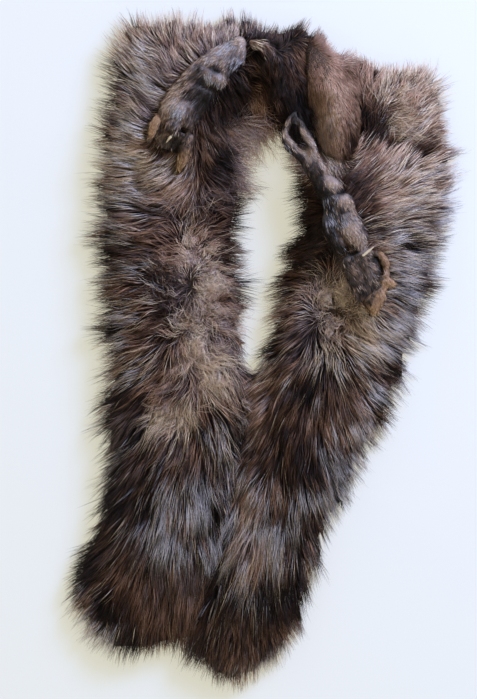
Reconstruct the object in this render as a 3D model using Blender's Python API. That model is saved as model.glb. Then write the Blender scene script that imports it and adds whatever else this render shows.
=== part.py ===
"""Fur collar stole laid flat: two long pelts in one loop, folded at the shoulder, with two forelegs.

Metres, +Z up. The origin is on the surface, below the middle of the stole. +Y runs from the
rounded ends up to the nape and +X is the side of the shoulder folds. The solids hold the whole
coat, out to the tips of its locks. Tables are in millimetres.
"""
import math
from collections import namedtuple

import bmesh
import bpy
from mathutils import Vector

MM = 0.001
SEAM_GAP = 0.3            # between neighbouring pieces
LOCK_PITCH = 25.0         # from one thick lock of guard hair to the next
LOCK_LENGTH = 46.0        # from the root of a lock to the next one in its row
LOCK_LEAN = 0.65          # share of the pitch over which a lock rises before it falls away
LOCK_RELIEF = 3.6         # how far a lock stands over the hollow beside it
TUFT_SPREAD = 1.8         # edge locks reach from the inset to the inset and this, times the tuft
TUFT_INSET = 1.1
PELT_STEP = 5.8           # between sections along a pelt
PELT_POINTS = 15          # across the coat, edge to edge
COAT_FULLNESS = 2.3       # higher is a boxier cross-section
COAT_SLOPE = 0.8          # higher is a flatter edge
LIMB_STEP = 4.5
LIMB_SIDES = 12
CUTTER_DEPTH = 6.0        # how far a cutter reaches below the surface

# A pelt section: the outer and inner edge of the coat on the surface, the crown's height, where
# the crown lies (0 outer edge, 1 inner edge), how far locks stand out at the outer and the inner
# edge, and the nap, which is how far a lock runs along the pelt for each millimetre outwards.
Pelt = namedtuple("Pelt", "outer_x outer_y inner_x inner_y crown lean tuft inner_tuft nap")

LEFT_PELT = [
    Pelt(-25, 314, -12, 204, 36, 0.50, 2.0, 1.0, -0.1),
    Pelt(-55, 317, -14, 198, 38, 0.50, 4.0, 1.0, -0.2),
    Pelt(-88, 321, -15, 189, 40, 0.48, 6.0, 1.0, -0.3),
    Pelt(-119, 315, -15, 181, 41, 0.48, 8.0, 1.0, -0.3),
    Pelt(-141, 292, -14, 174, 42, 0.48, 8.0, 1.0, -0.3),
    Pelt(-151, 253, -14, 164, 42, 0.47, 7.0, 1.0, -0.3),
    Pelt(-156, 213, -16, 151, 42, 0.47, 6.0, 2.0, -0.2),
    Pelt(-160, 170, -19, 132, 42, 0.48, 6.0, 4.0, -0.1),
    Pelt(-161, 127, -21, 108, 43, 0.50, 7.0, 8.0, 0.0),
    Pelt(-159, 83, -19, 77, 44, 0.55, 8.0, 9.0, 0.1),
    Pelt(-158, 42, -12, 44, 45, 0.60, 9.0, 9.0, 0.3),
    Pelt(-157, 4, -14, 4, 45, 0.62, 9.0, 9.0, 0.5),
    Pelt(-155, -34, -8, -34, 44, 0.58, 9.0, 8.0, 0.7),
    Pelt(-156, -72, -2, -72, 43, 0.50, 9.0, 7.0, 0.8),
    Pelt(-156, -107, -2, -110, 42, 0.46, 9.0, 6.0, 0.9),
    Pelt(-157, -141, -8, -148, 41, 0.45, 8.0, 6.0, 1.0),
    Pelt(-164, -170, -16, -186, 40, 0.46, 6.0, 5.0, 1.1),
    Pelt(-175, -197, -27, -219, 38, 0.48, 5.0, 5.0, 1.2),
    Pelt(-181, -224, -42, -246, 35, 0.50, 5.0, 5.0, 1.2),
    Pelt(-178, -253, -60, -266, 31, 0.50, 5.0, 5.0, 1.0),
    Pelt(-163, -276, -80, -281, 23, 0.50, 4.0, 4.0, 0.6),
    Pelt(-143, -290, -105, -291, 9, 0.50, 2.0, 2.0, 0.0),
]

RIGHT_PELT = [
    Pelt(152, 188, 35, 203, 16, 0.40, 2.0, 2.0, 0.0),
    Pelt(172, 175, 33, 188, 44, 0.38, 5.0, 2.0, 0.1),
    Pelt(180, 158, 34, 166, 55, 0.38, 7.0, 3.0, 0.2),
    Pelt(180, 132, 33, 138, 56, 0.38, 8.0, 6.0, 0.2),
    Pelt(174, 104, 29, 108, 53, 0.42, 8.0, 7.0, 0.3),
    Pelt(167, 73, 19, 80, 49, 0.45, 8.0, 8.0, 0.4),
    Pelt(161, 37, 10, 51, 46, 0.48, 8.0, 8.0, 0.5),
    Pelt(150, 4, 2, 23, 45, 0.50, 8.0, 8.0, 0.6),
    Pelt(138, -29, -3, -3, 45, 0.50, 8.0, 7.0, 0.7),
    Pelt(125, -62, -12, -29, 46, 0.50, 9.0, 7.0, 0.8),
    Pelt(111, -92, -18, -53, 48, 0.52, 9.0, 7.0, 0.9),
    Pelt(95, -121, -22, -79, 50, 0.52, 10.0, 8.0, 1.0),
    Pelt(81, -148, -30, -107, 50, 0.52, 10.0, 8.0, 1.1),
    Pelt(67, -175, -40, -143, 49, 0.52, 9.0, 8.0, 1.2),
    Pelt(54, -204, -49, -181, 48, 0.52, 8.0, 7.0, 1.2),
    Pelt(46, -236, -59, -219, 46, 0.50, 6.0, 6.0, 1.2),
    Pelt(38, -266, -67, -256, 42, 0.50, 5.0, 5.0, 1.1),
    Pelt(26, -289, -71, -286, 34, 0.50, 5.0, 5.0, 0.9),
    Pelt(6, -306, -57, -307, 22, 0.50, 4.0, 4.0, 0.5),
    Pelt(-20, -319, -38, -319, 8, 0.50, 2.0, 2.0, 0.0),
]

NAPE_PELT = [
    Pelt(-24.7, 314, -11.7, 204, 36, 0.50, 2.0, 2.0, 0.0),
    Pelt(-6, 313, -4, 206, 39, 0.48, 3.0, 3.0, 0.0),
    Pelt(12, 312, 10, 208, 41, 0.45, 3.0, 3.0, 0.0),
    Pelt(28, 309, 27, 207, 38, 0.42, 3.0, 3.0, 0.0),
    Pelt(42, 304, 46, 205, 28, 0.40, 2.0, 2.0, 0.0),
]

NAPE_FOLD = [
    Pelt(74, 286, 32, 305, 10, 0.45, 2.0, 2.0, 0.0),
    Pelt(87, 275, 33, 289, 40, 0.45, 3.0, 2.0, 0.1),
    Pelt(93, 255, 35, 265, 52, 0.45, 3.0, 2.0, 0.1),
    Pelt(96, 235, 40, 241, 55, 0.45, 3.0, 2.0, 0.1),
    Pelt(96, 213, 46, 218, 53, 0.45, 3.0, 2.0, 0.1),
    Pelt(92, 194, 53, 197, 46, 0.45, 3.0, 2.0, 0.1),
    Pelt(84, 179, 62, 181, 30, 0.45, 2.0, 2.0, 0.0),
]

SHOULDER_FOLD = [
    Pelt(158, 267, 90, 273, 7, 0.55, 2.0, 2.0, 0.0),
    Pelt(168, 260, 81, 263, 30, 0.55, 4.0, 2.0, 0.0),
    Pelt(177, 245, 76, 248, 42, 0.55, 6.0, 2.0, 0.0),
    Pelt(181, 226, 75, 230, 46, 0.55, 7.0, 2.0, 0.1),
    Pelt(181, 204, 75, 210, 45, 0.55, 7.0, 2.0, 0.1),
    Pelt(180, 182, 75, 188, 38, 0.55, 6.0, 2.0, 0.1),
    Pelt(174, 162, 82, 166, 24, 0.55, 3.0, 2.0, 0.0),
]

# A limb section: a point on its middle line, and half its width and height there.
Limb = namedtuple("Limb", "x y z half_width half_height")

LIMBS = {
    "throat_fold": [
        Limb(-14, 289, 41, 5.0, 4.5),
        Limb(-2, 288, 45, 6.5, 6.0),
        Limb(8, 279, 47, 7.5, 7.0),
        Limb(14, 263, 46, 7.5, 7.0),
        Limb(13, 244, 42, 6.0, 5.0),
    ],
    "left_leg": [
        Limb(-15, 287, 50, 6.0, 5.0),
        Limb(-19, 286, 50, 10.5, 9.0),
        Limb(-25, 281, 50, 13.5, 11.0),
        Limb(-38, 272, 50, 16.5, 12.5),
        Limb(-53, 259, 49, 19.0, 13.0),
        Limb(-63, 246, 48, 20.0, 13.0),
        Limb(-72, 234, 48, 21.0, 13.0),
        Limb(-78, 223, 48, 20.5, 12.5),
        Limb(-82, 213, 48, 17.0, 10.0),
    ],
    "left_paw": [
        Limb(-83, 209, 46, 17.0, 9.5),
        Limb(-87, 200, 45, 17.5, 9.0),
        Limb(-89, 192, 43, 14.0, 6.5),
        Limb(-90, 187, 42, 8.0, 3.5),
    ],
    "left_toe_outer": [
        Limb(-97, 221, 50, 4.0, 4.0),
        Limb(-100, 215, 50, 5.8, 5.5),
        Limb(-103, 207, 49, 5.2, 5.0),
        Limb(-106, 200, 47, 3.0, 3.5),
        Limb(-108, 196, 46, 1.2, 1.8),
    ],
    "left_toe_middle": [
        Limb(-82, 216, 55, 6.0, 4.5),
        Limb(-84, 212, 56, 8.5, 6.5),
        Limb(-87, 205, 54, 8.5, 6.5),
        Limb(-89, 200, 52, 4.5, 4.0),
    ],
    "left_toe_inner": [
        Limb(-69, 204, 47, 5.0, 4.5),
        Limb(-71, 198, 47, 7.0, 6.5),
        Limb(-74, 186, 47, 6.8, 6.5),
        Limb(-77, 175, 45, 5.2, 4.5),
        Limb(-80, 168, 43, 2.0, 2.0),
    ],
    "left_claw": [
        Limb(-86, 201, 60, 1.4, 1.2),
        Limb(-88, 199, 60, 1.2, 1.0),
        Limb(-91, 195, 58, 0.5, 0.5),
    ],
    "right_leg": [
        Limb(41, 181, 41, 5.5, 5.0),
        Limb(43, 177, 42, 9.0, 7.5),
        Limb(50, 169, 44, 11.0, 8.5),
        Limb(57, 159, 46, 12.0, 9.5),
        Limb(65, 147, 49, 13.0, 10.5),
        Limb(72, 134, 51, 15.5, 12.0),
        Limb(76, 121, 53, 18.0, 13.0),
        Limb(81, 107, 53, 18.5, 13.0),
        Limb(85, 98, 52, 16.5, 11.5),
    ],
    "right_leg_strap_outer": [
        Limb(33, 226, 37, 3.5, 3.5),
        Limb(26, 218, 38, 4.8, 4.5),
        Limb(21, 206, 37, 5.0, 4.5),
        Limb(23, 195, 37, 5.6, 5.0),
        Limb(31, 187, 39, 6.2, 5.5),
        Limb(39, 180, 41, 6.5, 5.5),
    ],
    "right_leg_strap_inner": [
        Limb(35, 218, 40, 4.0, 3.8),
        Limb(39, 208, 42, 5.0, 4.8),
        Limb(45, 196, 44, 5.4, 5.0),
        Limb(49, 180, 45, 5.2, 5.0),
    ],
    "right_paw": [
        Limb(88, 93, 51, 15.0, 10.0),
        Limb(93, 84, 51, 17.0, 11.0),
        Limb(98, 72, 51, 17.5, 10.5),
        Limb(101, 60, 50, 14.0, 9.0),
        Limb(103, 49, 48, 8.0, 6.0),
    ],
    "right_toe_upper": [
        Limb(107, 93, 54, 4.0, 3.5),
        Limb(111, 88, 55, 5.5, 5.5),
        Limb(116, 80, 54, 5.5, 5.5),
        Limb(118, 74, 52, 3.0, 3.0),
    ],
    "right_toe_middle": [
        Limb(111, 68, 53, 6.0, 5.0),
        Limb(117, 64, 53, 6.5, 5.5),
        Limb(123, 62, 52, 4.2, 4.0),
        Limb(128, 61, 51, 1.2, 1.6),
    ],
    "right_toe_lower": [
        Limb(108, 58, 53, 7.0, 5.5),
        Limb(108, 50, 53, 8.0, 6.0),
        Limb(106, 41, 51, 6.8, 5.0),
        Limb(103, 33, 49, 3.0, 2.5),
    ],
    "right_claw": [
        Limb(94, 88, 61, 1.5, 1.3),
        Limb(99, 92, 61, 1.3, 1.2),
        Limb(105, 97, 61, 0.5, 0.5),
    ],
}

# Each piece, in the order in which the pieces are laid down, with those that it lies on.
LAID_ON = {
    "left_pelt": [],
    "nape_pelt": [],
    "shoulder_fold": [],
    "right_pelt": ["left_pelt", "nape_pelt", "shoulder_fold"],
    "nape_fold": ["nape_pelt", "shoulder_fold", "right_pelt"],
    "throat_fold": ["left_pelt", "nape_pelt"],
    "left_leg": ["left_pelt", "nape_pelt", "throat_fold"],
    "left_paw": ["left_pelt", "left_leg"],
    "left_toe_outer": ["left_pelt", "left_leg", "left_paw"],
    "left_toe_middle": ["left_leg", "left_paw"],
    "left_toe_inner": ["left_pelt", "left_leg", "left_paw"],
    "left_claw": ["left_toe_middle", "left_paw", "left_leg"],
    "right_leg": ["right_pelt", "nape_fold"],
    "right_leg_strap_outer": ["nape_pelt", "nape_fold", "right_pelt", "right_leg"],
    "right_leg_strap_inner": ["nape_pelt", "nape_fold", "right_pelt", "right_leg",
                              "right_leg_strap_outer"],
    "right_paw": ["right_pelt", "right_leg"],
    "right_toe_upper": ["right_pelt", "right_leg", "right_paw"],
    "right_toe_middle": ["right_pelt", "right_paw", "right_toe_upper"],
    "right_toe_lower": ["right_pelt", "right_paw", "right_toe_middle"],
    "right_claw": ["right_paw", "right_leg", "right_toe_upper"],
}

PELTS = {
    "left_pelt": LEFT_PELT,
    "right_pelt": RIGHT_PELT,
    "nape_pelt": NAPE_PELT,
    "nape_fold": NAPE_FOLD,
    "shoulder_fold": SHOULDER_FOLD,
}

# Colour (linear RGB), roughness and metallic value of each finish.
Finish = namedtuple("Finish", "color roughness metallic")
FINISHES = {
    "guard_hair": Finish((0.075, 0.050, 0.042), 0.55, 0.0),
    "nape_hair": Finish((0.035, 0.022, 0.018), 0.60, 0.0),
    "fold_hair": Finish((0.190, 0.125, 0.095), 0.60, 0.0),
    "flecked_hair": Finish((0.230, 0.160, 0.115), 0.60, 0.0),
    "leg_hair": Finish((0.130, 0.105, 0.100), 0.50, 0.0),
    "bare_toe": Finish((0.420, 0.240, 0.110), 0.50, 0.0),
    "claw": Finish((0.680, 0.600, 0.460), 0.35, 0.0),
}


def finish_of(name):
    """The finish that a piece has, by what it is."""
    if name == "nape_pelt" or name == "throat_fold":
        return "nape_hair"
    if name == "nape_fold":
        return "fold_hair"
    if name == "shoulder_fold":
        return "flecked_hair"
    if name.endswith("pelt"):
        return "guard_hair"
    if "claw" in name:
        return "claw"
    if "toe" in name and name != "left_toe_middle":
        return "bare_toe"
    return "leg_hair"


def material(finish_name):
    """One Principled material for each finish."""
    if finish_name in bpy.data.materials:
        return bpy.data.materials[finish_name]
    finish = FINISHES[finish_name]
    made = bpy.data.materials.new(finish_name)
    made.use_nodes = True
    shader = made.node_tree.nodes["Principled BSDF"]
    shader.inputs["Base Color"].default_value = (*finish.color, 1.0)
    shader.inputs["Roughness"].default_value = finish.roughness
    shader.inputs["Metallic"].default_value = finish.metallic
    made.diffuse_color = (*finish.color, 1.0)
    return made


def smooth_row(rows, place):
    """The row at a place between whole row numbers, on a smooth curve through all the rows."""
    index = min(int(place), len(rows) - 2)
    t = place - index
    before = rows[max(index - 1, 0)]
    after = rows[min(index + 2, len(rows) - 1)]
    values = []
    for a, b, c, d in zip(before, rows[index], rows[index + 1], after):
        bend = (2 * a - 5 * b + 4 * c - d) * t * t + (3 * b - a - 3 * c + d) * t ** 3
        values.append(b + 0.5 * ((c - a) * t + bend))
    return type(rows[0])(*values)


def middle(row):
    """A row's point on the middle line, seen from above."""
    if isinstance(row, Pelt):
        return Vector(((row.outer_x + row.inner_x) / 2, (row.outer_y + row.inner_y) / 2))
    return Vector((row.x, row.y))


def resample(rows, step):
    """Rows about one step apart along the middle line, with the distance run at each."""
    fine = 24
    places = [i / fine for i in range((len(rows) - 1) * fine + 1)]
    points = [middle(smooth_row(rows, place)) for place in places]
    runs = [0.0]
    for a, b in zip(points, points[1:]):
        runs.append(runs[-1] + (b - a).length)
    count = max(2, round(runs[-1] / step))
    stations = []
    for number in range(count + 1):
        wanted = runs[-1] * number / count
        k = next((i for i in range(1, len(runs)) if runs[i] >= wanted - 1e-9), len(runs) - 1)
        share = (wanted - runs[k - 1]) / max(runs[k] - runs[k - 1], 1e-9)
        place = places[k - 1] + share * (places[k] - places[k - 1])
        stations.append((wanted, smooth_row(rows, place)))
    return stations


def lock_height(run, outwards, nap):
    """0 in the hollow beside a lock of the coat and 1 on its back, in uneven staggered rows."""
    along = run - nap * outwards
    place = along / LOCK_PITCH + 0.45 * math.sin(along / 47)
    number = math.floor(place)
    share = place - number
    rise = share / LOCK_LEAN if share < LOCK_LEAN else (1 - share) / (1 - LOCK_LEAN)
    row = 0.5 + 0.5 * math.cos(2 * math.pi * (outwards / LOCK_LENGTH + 0.37 * number))
    return rise * (0.5 + 0.5 * row)


def coat_section(run, row, grow):
    """The points of one section of a pelt, from the outer edge over the crown to the inner one."""
    outer = Vector((row.outer_x, row.outer_y, 0))
    inner = Vector((row.inner_x, row.inner_y, 0))
    across = (inner - outer).normalized()
    width = (inner - outer).length
    points = []
    for k in range(PELT_POINTS):
        side = -math.cos(math.pi * k / (PELT_POINTS - 1))
        half = width * (row.lean if side < 0 else 1 - row.lean)
        outwards = abs(side) * half
        lock = lock_height(run, outwards, row.nap)
        tuft = row.tuft if side < 0 else row.inner_tuft
        reach = outwards + (tuft * (TUFT_SPREAD * lock - TUFT_INSET) + grow) * side * side
        height = row.crown * (1 - abs(side) ** COAT_FULLNESS) ** COAT_SLOPE
        height += LOCK_RELIEF * (lock - 0.5) * min(1.0, height / 15) + grow * (1 - side ** 8)
        point = outer + across * (width * row.lean + math.copysign(reach, side))
        point.z = max(height, 0.0)
        points.append(point)
    return points


def limb_ring(row, direction, grow):
    """The points round one section of a limb, which stands square to its middle line."""
    sideways = Vector((direction.y, -direction.x, 0)).normalized()
    centre = Vector((row.x, row.y, row.z))
    points = []
    for k in range(LIMB_SIDES):
        angle = 2 * math.pi * k / LIMB_SIDES
        side = sideways * math.cos(angle) * (row.half_width + grow)
        point = centre + side + Vector((0, 0, math.sin(angle) * (row.half_height + grow)))
        points.append(point)
    return points


def face_outwards(mesh):
    """Turn every face of a closed mesh outwards."""
    bmesh.ops.recalc_face_normals(mesh, faces=mesh.faces)
    if mesh.calc_volume(signed=True) < 0:
        bmesh.ops.reverse_faces(mesh, faces=mesh.faces)


def skin_rings(name, rings, crown=0):
    """A closed mesh object through rings of equally many points, given in millimetres. Up to the
    crown's point the faces are split along the other diagonal, so both sides follow the nap."""
    mesh = bmesh.new()
    loops = [[mesh.verts.new(point * MM) for point in ring] for ring in rings]
    count = len(loops[0])
    for near, far in zip(loops, loops[1:]):
        for k in range(count):
            after = (k + 1) % count
            if k < crown:
                mesh.faces.new((near[k], near[after], far[k]))
                mesh.faces.new((near[after], far[after], far[k]))
            else:
                mesh.faces.new((near[k], near[after], far[after]))
                mesh.faces.new((near[k], far[after], far[k]))
    mesh.faces.new(loops[0][::-1])
    mesh.faces.new(loops[-1])
    face_outwards(mesh)
    data = bpy.data.meshes.new(name)
    mesh.to_mesh(data)
    mesh.free()
    return bpy.data.objects.new(name, data)


def pelt(name, grow=0.0):
    """A pelt with its coat. A grown one is a cutter that also reaches below the surface."""
    stations = resample(PELTS[name], PELT_STEP)
    rings = [coat_section(run, row, grow) for run, row in stations]
    if grow:
        starts = (rings[0], middle(stations[0][1]) - middle(stations[1][1]))
        ends = (rings[-1], middle(stations[-1][1]) - middle(stations[-2][1]))
        for ring, way in (starts, ends):
            shift = way.normalized() * grow
            for point in ring:
                point.x += shift.x
                point.y += shift.y
        for ring in rings:
            first = Vector((ring[0].x, ring[0].y, -CUTTER_DEPTH))
            last = Vector((ring[-1].x, ring[-1].y, -CUTTER_DEPTH))
            ring.append(last)
            ring.append(first)
    return skin_rings(name, rings, PELT_POINTS // 2)


def limb(name, grow=0.0):
    """A leg, strap, paw, toe or claw: rings along a middle line, with blunt rounded ends."""
    length = sum((middle(b) - middle(a)).length for a, b in zip(LIMBS[name], LIMBS[name][1:]))
    rows = [row for _, row in resample(LIMBS[name], min(LIMB_STEP, length / 5))]
    rings = []
    for k, row in enumerate(rows):
        direction = middle(rows[min(k + 1, len(rows) - 1)]) - middle(rows[max(k - 1, 0)])
        rings.append(limb_ring(row, direction, grow))
    for ring, row, inside in ((rings[0], rows[0], rows[1]), (rings[-1], rows[-1], rows[-2])):
        shift = (middle(row) - middle(inside)).normalized() * grow
        for point in ring:
            point.x += shift.x
            point.y += shift.y
    return skin_rings(name, rings)


def shape(name, grow=0.0):
    """Any piece, as it is or grown all round for a cutter."""
    return pelt(name, grow) if name in PELTS else limb(name, grow)


def cutter(name, collection):
    """The room that a piece takes with its seam gap, as a hidden cutter."""
    made = shape(name, SEAM_GAP)
    made.name = name + "_room"
    made.hide_render = True
    made.display_type = "WIRE"
    collection.objects.link(made)
    return made


def keep_largest_body(mesh):
    """Leave only the largest connected body, without crumbs that a cut has parted from it."""
    left = set(mesh.verts)
    bodies = []
    while left:
        body = {left.pop()}
        front = list(body)
        while front:
            vert = front.pop()
            for edge in vert.link_edges:
                other = edge.other_vert(vert)
                if other in left:
                    left.remove(other)
                    body.add(other)
                    front.append(other)
        bodies.append(body)
    bodies.sort(key=len)
    crumbs = [vert for body in bodies[:-1] for vert in body]
    bmesh.ops.delete(mesh, geom=crumbs, context="VERTS")


def cut_to_rest(piece, rooms):
    """Cut a piece by the room of each piece below it, and tidy the result."""
    for room in rooms:
        cut = piece.modifiers.new("rests on " + room.name, "BOOLEAN")
        cut.object = room
        cut.operation = "DIFFERENCE"
        cut.solver = "EXACT"
    bpy.context.view_layer.update()
    evaluated = piece.evaluated_get(bpy.context.evaluated_depsgraph_get())
    data = bpy.data.meshes.new_from_object(evaluated)
    piece.modifiers.clear()
    mesh = bmesh.new()
    mesh.from_mesh(data)
    bmesh.ops.remove_doubles(mesh, verts=mesh.verts, dist=0.02 * MM)
    bmesh.ops.dissolve_degenerate(mesh, edges=mesh.edges, dist=0.02 * MM)
    keep_largest_body(mesh)
    face_outwards(mesh)
    mesh.to_mesh(data)
    mesh.free()
    piece.data = data


def build():
    """Lay the pieces down one after another, each cut to rest on those below it."""
    for old in list(bpy.data.objects):
        bpy.data.objects.remove(old, do_unlink=True)
    stole = bpy.data.collections.new("fur_collar_stole")
    cutters = bpy.data.collections.new("cutters")
    bpy.context.scene.collection.children.link(stole)
    bpy.context.scene.collection.children.link(cutters)
    rooms = {}
    for name, below in LAID_ON.items():
        piece = shape(name)
        stole.objects.link(piece)
        if below:
            for other in below:
                if other not in rooms:
                    rooms[other] = cutter(other, cutters)
            cut_to_rest(piece, [rooms[other] for other in below])
        piece.data.materials.clear()
        piece.data.materials.append(material(finish_of(name)))
        piece.data.shade_smooth()


build()
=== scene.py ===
"""Looks of a fur collar stole: its skins, underwool, guard hair, legs and paws, laid flat.

The script runs from top to bottom and follows the stole as it is put together. Lengths are in
metres unless a table says millimetres; +Y runs up to the nape, +X to the shoulder, +Z is up.
"""
import math
from collections import namedtuple

import bmesh
import bpy
import numpy as np
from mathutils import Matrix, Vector
from mathutils.bvhtree import BVHTree


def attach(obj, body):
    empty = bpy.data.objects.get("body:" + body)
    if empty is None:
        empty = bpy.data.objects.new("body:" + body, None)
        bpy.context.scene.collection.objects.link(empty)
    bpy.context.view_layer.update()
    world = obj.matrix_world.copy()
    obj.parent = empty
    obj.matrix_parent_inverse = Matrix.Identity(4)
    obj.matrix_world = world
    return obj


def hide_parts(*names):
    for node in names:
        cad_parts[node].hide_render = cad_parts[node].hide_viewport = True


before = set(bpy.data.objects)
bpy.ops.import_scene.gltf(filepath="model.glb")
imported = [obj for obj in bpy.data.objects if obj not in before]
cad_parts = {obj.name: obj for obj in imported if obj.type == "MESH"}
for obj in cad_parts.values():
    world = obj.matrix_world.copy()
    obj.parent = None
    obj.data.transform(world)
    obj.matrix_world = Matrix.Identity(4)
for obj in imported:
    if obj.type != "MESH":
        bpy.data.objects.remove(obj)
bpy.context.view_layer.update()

# ----------------------------------------------------------------------
# Left pelt. The long front pelt, dark brown with silver guard hair, from the nape round the left
# corner down to the rounded left end. Its dressed skin lies on the surface, fleece-like underwool
# fills the coat, and guard hair up to 50 mm long lies over it in locks that follow the nap.
# ----------------------------------------------------------------------
MM = 0.001
SKIN_THICKNESS = 0.0016
SKIN_GAP = 0.0004             # between the skin and the underwool on it
SKIN_SIDE = -0.6              # wool whose surface faces down by more than this stands on the skin
SKIN_EDGE_SMOOTHING = 4       # rounds that take the steps off the skin's cut edge
WOOL_GRID = 0.006
WOOL_SMOOTHING = 14           # rounds of smoothing, which take the locks off the solid
WOOL_HEIGHT = 0.66            # share of the coat's depth that the underwool fills
WOOL_INSET = 0.0045           # how far the underwool stays inside the edge of the coat
HAIR_PAST_WOOL = 0.30         # and the share of the hair's length that lies past it
RIM_TRIM = 0.25               # hair at the very edge is shorter by this share
SEAM_WIDTH = 0.004            # nearer than this to a neighbouring pelt there is no inset
SEAM_REACH = 0.022            # and from here on the whole of it
SEAM_LAP = 0.004              # at the seam itself the wool swells out, so that no gap shows
LEG_BED = 0.93                # share of the depth that it fills beside the legs, which lie on it
LEG_BED_WIDTH = 0.010
LEG_CLEAR = 0.002             # below a leg it rises until it is this far from it
LEG_RISE = 0.016              # but by no more than this
LEG_RISE_WIDTH = 0.008
UNDERSIDE = -0.2              # wool that faces down by more than this is its underside
RAISED = 0.006                # which lies on the other pelt where it is higher than this
HAIR_FACING = (-0.25, 0.05)   # how far up the wool faces where hair begins and where it is dense
HAIR_SEAM = (0.002, 0.006)    # and how far from a neighbouring pelt
FLEECE = (0.35, 0.7)          # how curly a place is where fleece begins and where all is fleece
FLEECE_TONE = 0.34            # its down is lighter by this
FLEECE_SHARE = 0.8            # and this share of the guard hair gives way to its curls

# Places where the wool comes nearly to the coat's edge, so that the edge is dense: the middle and
# half size in millimetres, and the share of the inset that goes. Past 1 the wool swells out.
SNUG = [
    # x, y, across, along, share
    (8, 135, 55, 120, 0.85),
    (-178, -212, 26, 42, 0.85),
    (-138, 296, 26, 26, 0.75),
    (182, 112, 24, 55, 0.60),
    (150, 256, 24, 18, 0.75),
    (-164, 40, 20, 250, 0.35),
    (42, 202, 18, 15, 1.30),
]

# How the coat lies at one place. x and y are millimetres from the middle of the stole, heading is
# the way the nap runs in degrees from +X, length is the hair's in millimetres, and stand is how
# steeply it rises from its root in degrees. The rest are hundredths: how light it is, the shares
# of silver and of cream hairs, how far it runs into locks, how curly it is, and whether it is
# warmer or, below zero, cooler brown than elsewhere. A row leaves out zeros at its end.
Nap = namedtuple("Nap", "x y heading length stand tone silver cream lock curl warm", defaults=[0, 0])

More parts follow.
